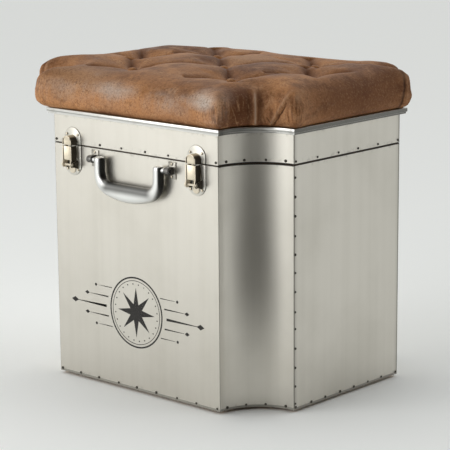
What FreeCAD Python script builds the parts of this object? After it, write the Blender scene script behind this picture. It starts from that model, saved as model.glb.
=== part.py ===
import FreeCAD, Part
import math
import os

# Storage ottoman built as a small trunk: a plywood case and lid with scooped corners, clad in
# sheet metal, with a buttoned leather cushion on the lid.
# Millimetres. Origin on the floor under the middle of the case, +X to the right, -Y to the front, +Z up.

Vec = FreeCAD.Vector

# Case and lid, measured over the metal cladding
case_width = 482.0
case_depth = 394.0
case_height = 357.0
lid_height = 43.6
scoop_radius = 75.0
split_gap = 0.8

# Sheet, plywood and the small gaps between them
sheet = 0.8
glue_line = 0.1
wall = 12.0
base_thickness = 12.0
base_clearance = 0.2
board_thickness = 8.6

# Rim moulding round the edge of the lid board
rim_overhang = 8.0
rim_depth = 2.6
rim_bead = 2.8
rim_bead_inset = 1.4

# Foot glides
foot_height = 4.0
foot_radius = 11.0
foot_inset_x = 20.0
foot_inset_y = 40.0

# Running fit of pins and trunnions, on the radius
pivot_fit = 0.06

# Draw latches on the front
latch_spacing = 252.0
latch_plate_width = 34.0
latch_plate = 1.2
latch_width = 19.0
latch_proud = 14.0
latch_lip = 0.8
latch_lip_width = 1.5
latch_metal = 1.6
latch_edge_gap = 0.4
keeper_side = 11.0
keeper_height = 25.0
keeper_boss_side = 4.4
lever_length = 21.0
lever_back_gap = 2.6
lever_boss_radius = 4.6
latch_pivot_drop = 29.0
latch_pivot_out = 11.0
latch_pin_radius = 1.75
latch_ear = 1.6
latch_ear_gap = 0.4
latch_ear_radius = 3.6
latch_ear_foot = 7.5
latch_pin_end = 0.6
base_plate_side = 32.0
base_plate_height = 46.0
base_pad_width = 12.0
base_pad_height = 1.8
base_pad_top = 19.0
base_pad_bottom = 43.0

# Swinging carry handle on the front
handle_span = 120.0
handle_leg = 15.0
handle_thick = 14.0
handle_drop = 56.0
handle_grip = 25.5
handle_outer_corner = 30.0
handle_inner_corner = 14.0
handle_bottom_radius = 150.0
handle_bevel = 4.2
handle_head = 5.0
handle_pivot_drop = 15.5
handle_pivot_out = 10.2
trunnion_radius = 3.2
trunnion_end = 0.8
bracket_gap = 6.5
bracket_width = 9.0
bracket_wall = 2.0
bracket_plate_width = 14.0
bracket_plate_height = 25.0
bracket_plate = 1.5

# Butt hinges on the back
hinge_spacing = 240.0
hinge_width = 44.0
hinge_leaf = 1.5
hinge_case_leaf_height = 30.0
hinge_lid_leaf_height = 28.0
hinge_knuckle_radius = 3.2
hinge_knuckle_clear = 0.3
hinge_knuckle_count = 3
hinge_knuckle_gap = 0.3
hinge_notch = 0.8
hinge_pin_radius = 1.6
hinge_pin_end = 1.0

# Folding lid stay inside the right-hand wall: a parallelogram with the hinge axis
stay_case_setback = 137.0
stay_case_pivot_drop = 58.4
stay_lid_setback = 112.0
stay_lid_pivot_rise = 21.6
stay_arm_width = 12.0
stay_arm = 2.0
stay_gap = 0.5
stay_pin_radius = 2.5
stay_head_radius = 4.5
stay_head = 1.2
stay_bracket = 1.5
stay_bracket_width = 18.0
stay_bracket_height = 32.0

# Cushion: offset of the outline from the case and height above the lid board, edge to crown
cushion_profile = (
    (7.0, 0.0),
    (12.4, 13.0),
    (13.2, 27.0),
    (8.0, 44.0),
    (-4.0, 55.0),
    (-32.0, 63.0),
    (-110.0, 71.0),
)
foam_offset = 0.0
foam_height = 38.0
foam_gap = 0.3
tuft_column = 100.0
tuft_end_column = 172.0
tuft_row = 95.0
tuft_depth = 22.0
tuft_seat = 9.0
tuft_reach = 42.0
button_radius = 7.0
button_height = 4.0

# Levels and planes that the pieces share
case_bottom = foot_height
case_top = case_bottom + case_height
lid_bottom = case_top + split_gap
lid_top = lid_bottom + lid_height
board_top = lid_top + board_thickness
split = case_top + split_gap / 2
front = -case_depth / 2
back = case_depth / 2
carcass = -(sheet + glue_line)
lining = carcass - wall
inner_x = case_width / 2 + lining
inner_y = case_depth / 2 + lining
far = case_width + case_depth


def outline(offset, z):
    """Closed outline of the trunk with scooped corners, moved outwards by offset, at height z."""
    radius = scoop_radius - offset
    reach = math.sqrt(radius ** 2 - offset ** 2)
    flat_x = case_width / 2 - reach
    flat_y = case_depth / 2 - reach
    side_x = case_width / 2 + offset
    side_y = case_depth / 2 + offset
    mid_x = case_width / 2 - radius / math.sqrt(2)
    mid_y = case_depth / 2 - radius / math.sqrt(2)
    edges = []
    turns = ((1, -1), (1, 1), (-1, 1), (-1, -1))
    for number, (sx, sy) in enumerate(turns):
        on_long = Vec(sx * flat_x, sy * side_y, z)
        on_short = Vec(sx * side_x, sy * flat_y, z)
        middle = Vec(sx * mid_x, sy * mid_y, z)
        start, end = (on_long, on_short) if number % 2 == 0 else (on_short, on_long)
        edges.append(Part.Arc(start, middle, end).toShape())
        nx, ny = turns[(number + 1) % 4]
        if number % 2 == 0:
            following = Vec(nx * side_x, ny * flat_y, z)
        else:
            following = Vec(nx * flat_x, ny * side_y, z)
        edges.append(Part.LineSegment(end, following).toShape())
    return Part.Wire(edges)


def prism(offset, low, high):
    return Part.Face(outline(offset, low)).extrude(Vec(0, 0, high - low))


def ring(outer, inner, low, high):
    return prism(outer, low, high).cut(prism(inner, low, high))


def block(x0, x1, y0, y1, z0, z1):
    return Part.makeBox(x1 - x0, y1 - y0, z1 - z0, Vec(x0, y0, z0))


def rod(radius, start, end):
    """Round bar from one point to another."""
    axis = end.sub(start)
    return Part.makeCylinder(radius, axis.Length, start, axis)


def closed_face(*runs):
    """Face from a chain of points; a run of three points is an arc, a run of two is a line."""
    edges = []
    for run in runs:
        if len(run) == 3:
            edges.append(Part.Arc(*run).toShape())
        else:
            edges.append(Part.LineSegment(*run).toShape())
    return Part.Face(Part.Wire(edges))


def turned(profile, x, y):
    """Revolve a profile drawn in the XZ plane and stand it at a point of the plan."""
    solid = profile.revolve(Vec(0, 0, 0), Vec(0, 0, 1), 360)
    solid.translate(Vec(x, y, 0))
    return solid


def group(solids):
    return Part.makeCompound(solids)


# Walls and cladding, cut from one scooped ring each

def wall_panels(low, high):
    """Four flat walls and four curved corner walls of one storey of the carcass."""
    body = ring(carcass, lining, low, high)
    pieces = {
        "front": body.common(block(-far, far, -far, -inner_y, low, high)),
        "back": body.common(block(-far, far, inner_y, far, low, high)),
        "left": body.common(block(-far, -inner_x, -far, far, low, high)),
        "right": body.common(block(inner_x, far, -far, far, low, high)),
        "corner_front_left": body.common(block(-inner_x, 0, -inner_y, 0, low, high)),
        "corner_front_right": body.common(block(0, inner_x, -inner_y, 0, low, high)),
        "corner_back_left": body.common(block(-inner_x, 0, 0, inner_y, low, high)),
        "corner_back_right": body.common(block(0, inner_x, 0, inner_y, low, high)),
    }
    return pieces


def cladding_sheets(low, high):
    """Front and back sheets folded round the scoops, and flat side sheets over their ends."""
    skin = ring(0, -sheet, low, high)
    lap = case_width / 2 - sheet
    return {
        "front": skin.common(block(-lap, lap, -far, 0, low, high)),
        "back": skin.common(block(-lap, lap, 0, far, low, high)),
        "left": skin.common(block(-far, -lap, -far, far, low, high)),
        "right": skin.common(block(lap, far, -far, far, low, high)),
    }


# Front latches, drawn about the split line with the front face at y = 0

def arch_face(half_width, low, shoulder, y):
    """Plate outline with straight sides and a half-round top."""
    return closed_face(
        (Vec(-half_width, y, low), Vec(half_width, y, low)),
        (Vec(half_width, y, low), Vec(half_width, y, shoulder)),
        (Vec(half_width, y, shoulder), Vec(0, y, shoulder + half_width), Vec(-half_width, y, shoulder)),
        (Vec(-half_width, y, shoulder), Vec(-half_width, y, low)),
    )


def crowned_plate(half_width, low, shoulder, top, thickness):
    """Flat plate whose one end is a shallow arc; top may lie above or below."""
    face = closed_face(
        (Vec(-half_width, 0, low), Vec(half_width, 0, low)),
        (Vec(half_width, 0, low), Vec(half_width, 0, shoulder)),
        (Vec(half_width, 0, shoulder), Vec(0, 0, top), Vec(-half_width, 0, shoulder)),
        (Vec(-half_width, 0, shoulder), Vec(-half_width, 0, low)),
    )
    return face.extrude(Vec(0, -thickness, 0))


def outward(face, start, end):
    """Extrude a face drawn at y = 0 from one distance off the front to another."""
    solid = face.extrude(Vec(0, -(end - start), 0))
    solid.translate(Vec(0, -start, 0))
    return solid


def side_plate(runs, x0, x1):
    """Plate standing square to the front, drawn as (out, z) points."""
    points = [[Vec(x0, -out, z) for out, z in run] for run in runs]
    return closed_face(*points).extrude(Vec(x1 - x0, 0, 0))


latch_half = latch_width / 2
latch_face = latch_proud - latch_lip
latch_low = split_gap / 2 + latch_edge_gap
latch_ear_inner = latch_half + latch_ear_gap
latch_ear_outer = latch_ear_inner + latch_ear


def keeper():
    """Catch on the lid: a round-topped plate with a pressed, lipped boss, open underneath."""
    shoulder = latch_low + keeper_boss_side
    plate = crowned_plate(
        latch_plate_width / 2, latch_low, latch_low + keeper_side, latch_low + keeper_height, latch_plate
    )
    boss = outward(arch_face(latch_half, latch_low, shoulder, 0), 0, latch_proud)
    recess = outward(
        arch_face(latch_half - latch_lip_width, latch_low - latch_metal, shoulder, 0), latch_face, latch_proud
    )
    hollow = outward(
        arch_face(latch_half - latch_metal, latch_low - latch_metal, shoulder, 0), 0, latch_face - latch_metal
    )
    return plate.fuse(boss).cut(recess).cut(hollow).removeSplitter()


def lever():
    """Pressed lever: lipped front plate and two flanges that run down to the pivot."""
    top = -latch_low
    bottom = top - lever_length
    pivot_z = -latch_pivot_drop
    near = latch_pivot_out - lever_boss_radius
    away = latch_pivot_out + lever_boss_radius
    plate = block(-latch_half, latch_half, -latch_face, -(latch_face - latch_metal), bottom, top)
    runs = (
        ((lever_back_gap, top), (latch_proud, top)),
        ((latch_proud, top), (latch_proud, bottom)),
        ((latch_proud, bottom), (away, pivot_z)),
        ((away, pivot_z), (latch_pivot_out, pivot_z - lever_boss_radius), (near, pivot_z)),
        ((near, pivot_z), (lever_back_gap, bottom)),
        ((lever_back_gap, bottom), (lever_back_gap, top)),
    )
    solid = plate
    for side in (-1, 1):
        inner, outer = sorted((side * (latch_half - latch_metal), side * latch_half))
        solid = solid.fuse(side_plate(runs, inner, outer))
    bore = rod(
        latch_pin_radius + pivot_fit,
        Vec(-latch_width, -latch_pivot_out, pivot_z),
        Vec(latch_width, -latch_pivot_out, pivot_z),
    )
    return solid.cut(bore).removeSplitter()


def latch_base():
    """Base plate on the case with a raised pad and two ears that carry the pivot pin."""
    pivot_z = -latch_pivot_drop
    solid = crowned_plate(
        latch_plate_width / 2, -latch_low, -base_plate_side, -base_plate_height, latch_plate
    )
    pad_half = base_pad_width / 2
    pad = crowned_plate(
        pad_half, -base_pad_top, -(base_pad_bottom - pad_half), -base_pad_bottom, latch_plate + base_pad_height
    )
    solid = solid.fuse(pad)
    high = pivot_z + latch_ear_radius
    low = pivot_z - latch_ear_radius
    runs = (
        ((0, pivot_z + latch_ear_foot), (latch_pivot_out, high)),
        ((latch_pivot_out, high), (latch_pivot_out + latch_ear_radius, pivot_z), (latch_pivot_out, low)),
        ((latch_pivot_out, low), (0, pivot_z - latch_ear_foot)),
        ((0, pivot_z - latch_ear_foot), (0, pivot_z + latch_ear_foot)),
    )
    for side in (-1, 1):
        inner, outer = sorted((side * latch_ear_inner, side * latch_ear_outer))
        solid = solid.fuse(side_plate(runs, inner, outer))
    bore = rod(
        latch_pin_radius + pivot_fit,
        Vec(-latch_plate_width, -latch_pivot_out, pivot_z),
        Vec(latch_plate_width, -latch_pivot_out, pivot_z),
    )
    return solid.cut(bore).removeSplitter()


def latch_pin():
    reach = latch_ear_outer + latch_pin_end
    return rod(
        latch_pin_radius,
        Vec(-reach, -latch_pivot_out, -latch_pivot_drop),
        Vec(reach, -latch_pivot_out, -latch_pivot_drop),
    )


# Carry handle and its brackets, drawn about the pivot with the front face at y = 0

bracket_inner = handle_span / 2 + handle_leg / 2 + bracket_gap
bracket_centre = bracket_inner + bracket_width / 2


def carry_handle():
    """Cast U handle with a swelling grip, bevelled front and back, and a trunnion on each leg."""
    outer = handle_span / 2 + handle_leg / 2
    inner = handle_span / 2 - handle_leg / 2
    middle = handle_span / 2
    bottom_centre = handle_bottom_radius - handle_drop
    corner_x = outer - handle_outer_corner
    between = handle_bottom_radius - handle_outer_corner
    corner_z = bottom_centre - math.sqrt(between ** 2 - corner_x ** 2)
    grow = handle_bottom_radius / between
    touch_x = corner_x * grow
    touch_z = bottom_centre + (corner_z - bottom_centre) * grow
    lean = math.atan2(bottom_centre - corner_z, corner_x) / 2
    bend_x = corner_x + handle_outer_corner * math.cos(lean)
    bend_z = corner_z - handle_outer_corner * math.sin(lean)
    grip_top = handle_grip - handle_drop
    inner_x_flat = inner - handle_inner_corner
    inner_z = grip_top + handle_inner_corner
    quarter = handle_inner_corner / math.sqrt(2)

    def at(x, z):
        return Vec(x, handle_thick / 2, z)

    face = closed_face(
        (at(-outer, handle_head), at(-outer, corner_z)),
        (at(-outer, corner_z), at(-bend_x, bend_z), at(-touch_x, touch_z)),
        (at(-touch_x, touch_z), at(0, -handle_drop), at(touch_x, touch_z)),
        (at(touch_x, touch_z), at(bend_x, bend_z), at(outer, corner_z)),
        (at(outer, corner_z), at(outer, handle_head)),
        (at(outer, handle_head), at(inner, handle_head)),
        (at(inner, handle_head), at(inner, inner_z)),
        (at(inner, inner_z), at(inner_x_flat + quarter, inner_z - quarter), at(inner_x_flat, grip_top)),
        (at(inner_x_flat, grip_top), at(-inner_x_flat, grip_top)),
        (at(-inner_x_flat, grip_top), at(-inner_x_flat - quarter, inner_z - quarter), at(-inner, inner_z)),
        (at(-inner, inner_z), at(-inner, handle_head)),
        (at(-inner, handle_head), at(-outer, handle_head)),
    )
    solid = face.extrude(Vec(0, -handle_thick, 0))
    rims = [
        e for e in solid.Edges
        if abs(abs(e.CenterOfMass.y) - handle_thick / 2) < 1e-4 and e.CenterOfMass.z < handle_head - 1e-4
    ]
    solid = solid.makeChamfer(handle_bevel, rims)
    reach = bracket_inner + bracket_width + trunnion_end
    for side in (-1, 1):
        solid = solid.fuse(rod(trunnion_radius, Vec(side * middle, 0, 0), Vec(side * reach, 0, 0)))
    solid.translate(Vec(0, -handle_pivot_out, 0))
    return solid


def handle_bracket():
    """Riveted plate with a saddle that the trunnion turns in."""
    half = bracket_plate_width / 2
    end = bracket_plate_height / 2
    plate = block(-half, half, -bracket_plate, 0, -end, end)
    saddle = trunnion_radius + pivot_fit + bracket_wall
    runs = (
        ((0, saddle), (handle_pivot_out, saddle)),
        ((handle_pivot_out, saddle), (handle_pivot_out + saddle, 0), (handle_pivot_out, -saddle)),
        ((handle_pivot_out, -saddle), (0, -saddle)),
        ((0, -saddle), (0, saddle)),
    )
    solid = plate.fuse(side_plate(runs, -bracket_width / 2, bracket_width / 2))
    bore = rod(
        trunnion_radius + pivot_fit,
        Vec(-bracket_width, -handle_pivot_out, 0),
        Vec(bracket_width, -handle_pivot_out, 0),
    )
    return solid.cut(bore).removeSplitter()


# Butt hinges, drawn about the split line with the back face at y = 0

hinge_axis_out = hinge_knuckle_radius + hinge_knuckle_clear


def hinge_leaf_piece(side, height, first):
    """One leaf with its share of the knuckles; side is +1 for the lid and -1 for the case."""
    notch = hinge_knuckle_radius + hinge_notch
    low, high = sorted((side * notch, side * height))
    solid = block(-hinge_width / 2, hinge_width / 2, 0, hinge_leaf, low, high)
    pitch = hinge_width / hinge_knuckle_count
    for number in range(first, hinge_knuckle_count, 2):
        x0 = -hinge_width / 2 + number * pitch + hinge_knuckle_gap / 2
        x1 = x0 + pitch - hinge_knuckle_gap
        low, high = sorted((0, side * notch))
        web = block(x0, x1, 0, hinge_leaf, low, high)
        knuckle = rod(hinge_knuckle_radius, Vec(x0, hinge_axis_out, 0), Vec(x1, hinge_axis_out, 0))
        solid = solid.fuse(web).fuse(knuckle)
    bore = rod(
        hinge_pin_radius + pivot_fit,
        Vec(-hinge_width, hinge_axis_out, 0),
        Vec(hinge_width, hinge_axis_out, 0),
    )
    return solid.cut(bore).removeSplitter()


def hinge_pin():
    reach = hinge_width / 2 + hinge_pin_end
    return rod(hinge_pin_radius, Vec(-reach, hinge_axis_out, 0), Vec(reach, hinge_axis_out, 0))


# Lid stay, in the planes beside the right-hand wall

stay_case_pivot = Vec(inner_x, back - stay_case_setback, split - stay_case_pivot_drop)
stay_lid_pivot = Vec(inner_x, back - stay_lid_setback, split + stay_lid_pivot_rise)
hinge_axis_y = back + hinge_axis_out
stay_elbow = stay_case_pivot.add(Vec(0, stay_lid_pivot.y - hinge_axis_y, stay_lid_pivot_rise))
lower_outer = inner_x - stay_bracket - stay_gap
lower_inner = lower_outer - stay_arm
upper_outer = lower_inner - stay_gap
upper_inner = upper_outer - stay_arm


def stay_arm_piece(start, end, x_inner, x_outer):
    """Flat bar with round ends and a hole at each end."""
    along = end.sub(start)
    along.x = 0
    along.normalize()
    across = Vec(0, -along.z, along.y).multiply(stay_arm_width / 2)
    tip = Vec(along).multiply(stay_arm_width / 2)

    def at(point, *moves):
        moved = Vec(x_inner, point.y, point.z)
        for move in moves:
            moved = moved.add(move)
        return moved

    back_across = Vec(across).multiply(-1)
    back_tip = Vec(tip).multiply(-1)
    face = closed_face(
        (at(start, across), at(start, back_tip), at(start, back_across)),
        (at(start, back_across), at(end, back_across)),
        (at(end, back_across), at(end, tip), at(end, across)),
        (at(end, across), at(start, across)),
    )
    solid = face.extrude(Vec(x_outer - x_inner, 0, 0))
    for point in (start, end):
        solid = solid.cut(rod(stay_pin_radius + pivot_fit, at(point, Vec(-stay_arm, 0, 0)),
                              at(point, Vec(2 * stay_arm, 0, 0))))
    return solid


def stay_bracket_piece(pivot, arm_inner):
    """Wall plate with a pivot stud through the arm and a peened head."""
    half_y = stay_bracket_width / 2
    half_z = stay_bracket_height / 2
    solid = block(inner_x - stay_bracket, inner_x, pivot.y - half_y, pivot.y + half_y,
                  pivot.z - half_z, pivot.z + half_z)
    spots = [Vec(x, pivot.y, pivot.z) for x in (
        inner_x - stay_bracket, arm_inner - stay_gap, arm_inner - stay_gap - stay_head)]
    solid = solid.fuse(rod(stay_pin_radius, spots[0], spots[1]))
    return solid.fuse(rod(stay_head_radius, spots[1], spots[2])).removeSplitter()


def stay_stud():
    """Elbow stud of the upper arm, through the lower arm to a peened head."""
    spots = [Vec(x, stay_elbow.y, stay_elbow.z) for x in (
        upper_inner, lower_outer + stay_gap / 2, lower_outer + stay_gap / 2 + stay_head)]
    solid = rod(stay_pin_radius + pivot_fit, spots[0], Vec(upper_outer, stay_elbow.y, stay_elbow.z))
    solid = solid.fuse(rod(stay_pin_radius, spots[0], spots[2]))
    return solid.fuse(rod(stay_head_radius, spots[1], spots[2]))


# Cushion: a wadded cover rising from its sewn lower edge over the side to the crown, drawn in at each tuft

tufts = [(s * tuft_column, t * tuft_row) for s in (-1, 1) for t in (-1, 1)]
tufts += [(-tuft_end_column, 0), (0, 0), (tuft_end_column, 0)]


def crown_height(x, y):
    """Height of the plain crown over a point, from the profile at its distance from the edge."""
    inside = max(abs(x) - case_width / 2, abs(y) - case_depth / 2)
    for (near, low), (deep, high) in zip(cushion_profile, cushion_profile[1:]):
        if deep < near and inside >= deep:
            return low + (near - inside) / (near - deep) * (high - low)
    return cushion_profile[-1][1]


def tuft_cutter(x, y):
    """Four-sided funnel, whose corners are the pleats that run diagonally to the next tufts."""
    top = board_top + crown_height(x, y)
    steps = ((tuft_seat, top - tuft_depth), (tuft_reach, top), (tuft_reach, top + tuft_depth))
    rings = [square_ring(half, half, level) for half, level in steps]
    cutter = ringed_solid(rings)
    cutter.translate(Vec(x, y, 0))
    return cutter


def square_ring(x, y, z):
    return [Vec(-x, -y, z), Vec(x, -y, z), Vec(x, y, z), Vec(-x, y, z)]


def ringed_solid(rings):
    """Solid with flat faces between four-cornered rings, stacked from the bottom up."""
    loops = [rings[0], rings[-1]]
    for low, high in zip(rings, rings[1:]):
        for k in range(4):
            loops.append([low[k], low[(k + 1) % 4], high[(k + 1) % 4], high[k]])
    faces = [Part.Face(Part.makePolygon(loop + loop[:1])) for loop in loops]
    return Part.Solid(Part.Shell(faces))


def stepped_profile(steps):
    """Half section of a turned solid from (radius, level) steps, closed on the axis."""
    corners = [Vec(0, 0, steps[0][1])]
    corners += [Vec(radius, 0, level) for radius, level in steps]
    corners += [Vec(0, 0, steps[-1][1])]
    return Part.Face(Part.makePolygon(corners + corners[:1]))


def cushion_cover():
    """Leather and wadding: hipped block, scooped at the corners, tufted, hollow for the foam."""
    solid = ringed_solid([
        square_ring(case_width / 2 + offset, case_depth / 2 + offset, board_top + height)
        for offset, height in cushion_profile
    ])
    scoop = stepped_profile([(scoop_radius - offset, board_top + height) for offset, height in cushion_profile])
    for sx in (-1, 1):
        for sy in (-1, 1):
            solid = solid.cut(turned(scoop, sx * case_width / 2, sy * case_depth / 2))
    for x, y in tufts:
        solid = solid.cut(tuft_cutter(x, y))
    return solid.cut(prism(foam_offset + foam_gap, board_top, board_top + foam_height + foam_gap))


def tuft_button(x, y):
    """Small covered button on the seat of a tuft."""
    seat = board_top + crown_height(x, y) - tuft_depth + foam_gap
    return rod(button_radius, Vec(x, y, seat), Vec(x, y, seat + button_height))


def foot_glide(x, y):
    """Round glide under the base."""
    return rod(foot_radius, Vec(x, y, 0), Vec(x, y, foot_height))


def placed(shape, x, y, z):
    copy = shape.copy()
    copy.translate(Vec(x, y, z))
    return copy


nodes = {}

# Case carcass and base
case = wall_panels(case_bottom, case_top)
case_skin = cladding_sheets(case_bottom, case_top)
foot_x = case_width / 2 - scoop_radius - foot_inset_x
foot_y = case_depth / 2 - foot_inset_y
foot_spots = [(s * foot_x, t * foot_y) for s in (-1, 1) for t in (-1, 1)]
nodes["base_panel"] = prism(lining - base_clearance, case_bottom, case_bottom + base_thickness)
nodes["foot_glides"] = group([foot_glide(spot_x, spot_y) for spot_x, spot_y in foot_spots])

# Lid carcass, board and rim
lid = wall_panels(lid_bottom, lid_top)
lid_skin = cladding_sheets(lid_bottom, lid_top)
board_edge = rim_overhang - rim_depth
nodes["lid_board"] = prism(board_edge - glue_line, lid_top, board_top)
bead_top = lid_top + rim_bead
rim = ring(rim_overhang, board_edge, bead_top, board_top)
nodes["rim_moulding"] = rim.fuse(
    ring(rim_overhang - rim_bead_inset, board_edge, lid_top, bead_top)).removeSplitter()

# Hardware positions
sides = (("left", -1), ("right", 1))
latch_at = {name: (s * latch_spacing / 2, front, split) for name, s in sides}
bracket_at = {name: (s * bracket_centre, front, split - handle_pivot_drop) for name, s in sides}
hinge_at = {name: (s * hinge_spacing / 2, back, split) for name, s in sides}

def both(shape, spots):
    """One copy on each side, as a group of two solids."""
    return group([placed(shape, *spots[name]) for name, s in sides])


nodes["latch_keepers"] = both(keeper(), latch_at)
nodes["latch_bases"] = both(latch_base(), latch_at)
nodes["latch_pins"] = both(latch_pin(), latch_at)
for name, s in sides:
    nodes["latch_lever_" + name] = placed(lever(), *latch_at[name])
nodes["handle_brackets"] = both(handle_bracket(), bracket_at)
nodes["carry_handle"] = placed(carry_handle(), 0, front, split - handle_pivot_drop)
nodes["hinge_case_leaves"] = both(hinge_leaf_piece(-1, hinge_case_leaf_height, 0), hinge_at)
nodes["hinge_lid_leaves"] = both(hinge_leaf_piece(1, hinge_lid_leaf_height, 1), hinge_at)
nodes["hinge_pins"] = both(hinge_pin(), hinge_at)

# Lid stay
nodes["stay_case_bracket"] = stay_bracket_piece(stay_case_pivot, lower_inner)
nodes["stay_lid_bracket"] = stay_bracket_piece(stay_lid_pivot, upper_inner)
nodes["stay_lower_arm"] = stay_arm_piece(stay_case_pivot, stay_elbow, lower_inner, lower_outer)
nodes["stay_upper_arm"] = stay_arm_piece(
    stay_lid_pivot, stay_elbow, upper_inner, upper_outer).fuse(stay_stud()).removeSplitter()

# Walls and cladding
for name, shape in case.items():
    nodes["case_" + name + ("" if name.startswith("corner") else "_panel")] = shape
for name, shape in case_skin.items():
    nodes["case_" + name + "_cladding"] = shape
for name, shape in lid.items():
    nodes["lid_" + name + ("" if name.startswith("corner") else "_rail")] = shape
for name, shape in lid_skin.items():
    nodes["lid_" + name + "_cladding"] = shape

# Cushion
nodes["seat_foam"] = prism(foam_offset, board_top, board_top + foam_height)
nodes["leather_cover"] = cushion_cover()
nodes["tuft_buttons"] = group([tuft_button(x, y) for x, y in tufts])

os.makedirs("parts", exist_ok=True)
for name, shape in nodes.items():
    shape.exportStep("parts/" + name + ".step")
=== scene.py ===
import functools
import math
import random

import bmesh
import bpy
from bpy.props import FloatProperty, FloatVectorProperty, PointerProperty
from bpy.types import Operator, Panel, PropertyGroup
from mathutils import Matrix, Vector


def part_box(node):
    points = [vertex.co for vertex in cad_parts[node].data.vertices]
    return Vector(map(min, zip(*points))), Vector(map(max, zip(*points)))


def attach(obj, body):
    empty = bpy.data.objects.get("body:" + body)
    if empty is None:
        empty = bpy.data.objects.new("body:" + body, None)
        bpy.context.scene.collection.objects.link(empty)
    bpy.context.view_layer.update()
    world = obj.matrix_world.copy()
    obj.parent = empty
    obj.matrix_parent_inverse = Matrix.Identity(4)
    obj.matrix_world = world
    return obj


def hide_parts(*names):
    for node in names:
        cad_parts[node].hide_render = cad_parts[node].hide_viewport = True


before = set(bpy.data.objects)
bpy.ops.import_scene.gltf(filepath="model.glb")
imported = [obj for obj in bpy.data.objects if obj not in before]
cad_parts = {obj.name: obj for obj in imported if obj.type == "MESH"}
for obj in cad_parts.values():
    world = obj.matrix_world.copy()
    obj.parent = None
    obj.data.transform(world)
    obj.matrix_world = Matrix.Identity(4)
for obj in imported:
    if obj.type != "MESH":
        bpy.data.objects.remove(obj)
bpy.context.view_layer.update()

bl_info = {
    "name": "Trunk Ottoman",
    "version": (1, 0, 0),
    "blender": (4, 5, 0),
    "location": "View3D > Sidebar > Ottoman",
    "description": "Dresses a storage ottoman built as a small metal-clad trunk with a tufted leather seat",
    "category": "Object",
}

# Places read from the frame, in metres
half_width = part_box("case_right_cladding")[1].x
half_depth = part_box("case_back_cladding")[1].y
front_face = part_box("case_front_cladding")[0].y
case_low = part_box("case_front_cladding")[0].z
case_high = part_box("case_front_cladding")[1].z
lid_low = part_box("lid_front_cladding")[0].z
lid_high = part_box("lid_front_cladding")[1].z
seat_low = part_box("rim_moulding")[1].z
handle_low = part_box("carry_handle")[0].z
rim_step = (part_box("rim_moulding")[0].z + seat_low) / 2

# Sizes of the plates on the sheet metal and the plywood, in metres
plate_width = 0.034
latch_plate = 0.0012
lever_plate = 0.021
bracket_plate = 0.0015
hinge_leaf = 0.0015
stay_plate = 0.0015
latch_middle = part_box("latch_keepers")[1].x - plate_width / 2

walls = ("front", "back", "left", "right")
corners = ("front_left", "front_right", "back_left", "back_right")
corner_signs = ((-1, -1), (1, -1), (-1, 1), (1, 1))


# Sizes and colours that a user would change

def length(name, description, default):
    return FloatProperty(name=name, description=description, default=default, unit="LENGTH", precision=4)


def angle(name, description, default):
    return FloatProperty(name=name, description=description, default=default, subtype="ANGLE")


def colour(name, description, default):
    return FloatVectorProperty(name=name, description=description, default=default, size=3,
                               min=0.0, max=1.0, subtype="COLOR")


class OttomanMetal(PropertyGroup):
    """Sheet metal, rim, hardware and nails."""

    scoop_radius: length("Scoop radius", "Radius of the hollow corners of the case", 0.075)
    sheet_pale: colour("Sheet", "Clean sheet metal", (0.692, 0.662, 0.600))
    sheet_shade: colour("Sheet streaks", "Dull streaks in the sheet metal", (0.572, 0.546, 0.484))
    # Dirt along edges and nails, and also the colour of the painted shade along the foot, the lower edges and
    # the plates, and on the rim
    sheet_grime_and_shade: colour("Sheet grime", "Dirt along edges and nails", (0.29, 0.28, 0.25))
    # Colour of the painted shadow in the gap where the lid meets the case
    split_shadow: colour("Split", "Dark edge where the lid meets the case", (0.030, 0.028, 0.026))
    rim_tone: colour("Rim", "Bright moulding under the cushion", (0.82, 0.81, 0.78))
    rim_round: length("Rim rounding", "Rounding of the rim's edges", 0.0009)
    latch_tone: colour("Latches", "Nickelled brass of the latch levers and hinges", (0.76, 0.68, 0.54))
    plate_tone: colour("Plates", "Thin plates under the latches", (0.66, 0.64, 0.58))
    # Also the colour of the painted shade on the sides of the latch levers and plates
    latch_dark: colour("Latch patina", "Dark patina in the recesses", (0.055, 0.045, 0.035))
    bracket_tone: colour("Brackets", "Dark steel of the handle brackets", (0.19, 0.185, 0.175))
    stay_tone: colour("Stay", "Zinc plate of the lid stay", (0.56, 0.56, 0.55))
    handle_tone: colour("Handle", "Polished handle casting", (0.80, 0.80, 0.78))
    # Colour of the painted shade on the right of the handle's legs and the painted dark reflection above its
    # grip
    handle_dark: colour("Handle tarnish", "Tarnish where hands do not rub the handle", (0.036, 0.036, 0.033))
    handle_reach: length("Handle reach", "Outer side of the handle's legs, from the middle", 0.0675)
    handle_voxel: length("Handle voxel", "Mesh size of the handle before it is smoothed", 0.0012)
    handle_swell: length("Handle swell", "How far the smoothed handle is swollen back to its size", 0.0009)
    nail_tone: colour("Nails", "Dark tack heads", (0.085, 0.078, 0.066))
    nail_radius: length("Nail radius", "Radius of a tack head", 0.0020)
    nail_margin: length("Nail margin", "Distance of a row of tacks from the edge of its sheet", 0.0045)
    round_over: length("Round over", "Rounding of pressed and cast edges", 0.0004)


class OttomanCarcass(PropertyGroup):
    """Plywood behind the sheet metal, and the glides under it."""

    ply_layer: length("Layer", "Thickness of one layer of the plywood", 0.0017)
    ply_pale: colour("Plywood", "Pale wood between the grain", (0.60, 0.43, 0.26))
    ply_grain: colour("Grain", "Broad grain on the faces", (0.46, 0.30, 0.165))
    ply_fibre: colour("Fibre", "Fine dark fibres", (0.34, 0.21, 0.11))
    ply_cross: colour("Cross layers", "Layers of end grain on a sawn edge", (0.33, 0.20, 0.11))
    ply_long: colour("Long layers", "Layers of long grain on a sawn edge", (0.58, 0.42, 0.26))
    glide_tone: colour("Glides", "Moulded black plastic", (0.018, 0.018, 0.018))
    glide_worn: colour("Worn glides", "Raised grain of the plastic", (0.035, 0.034, 0.033))


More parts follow.
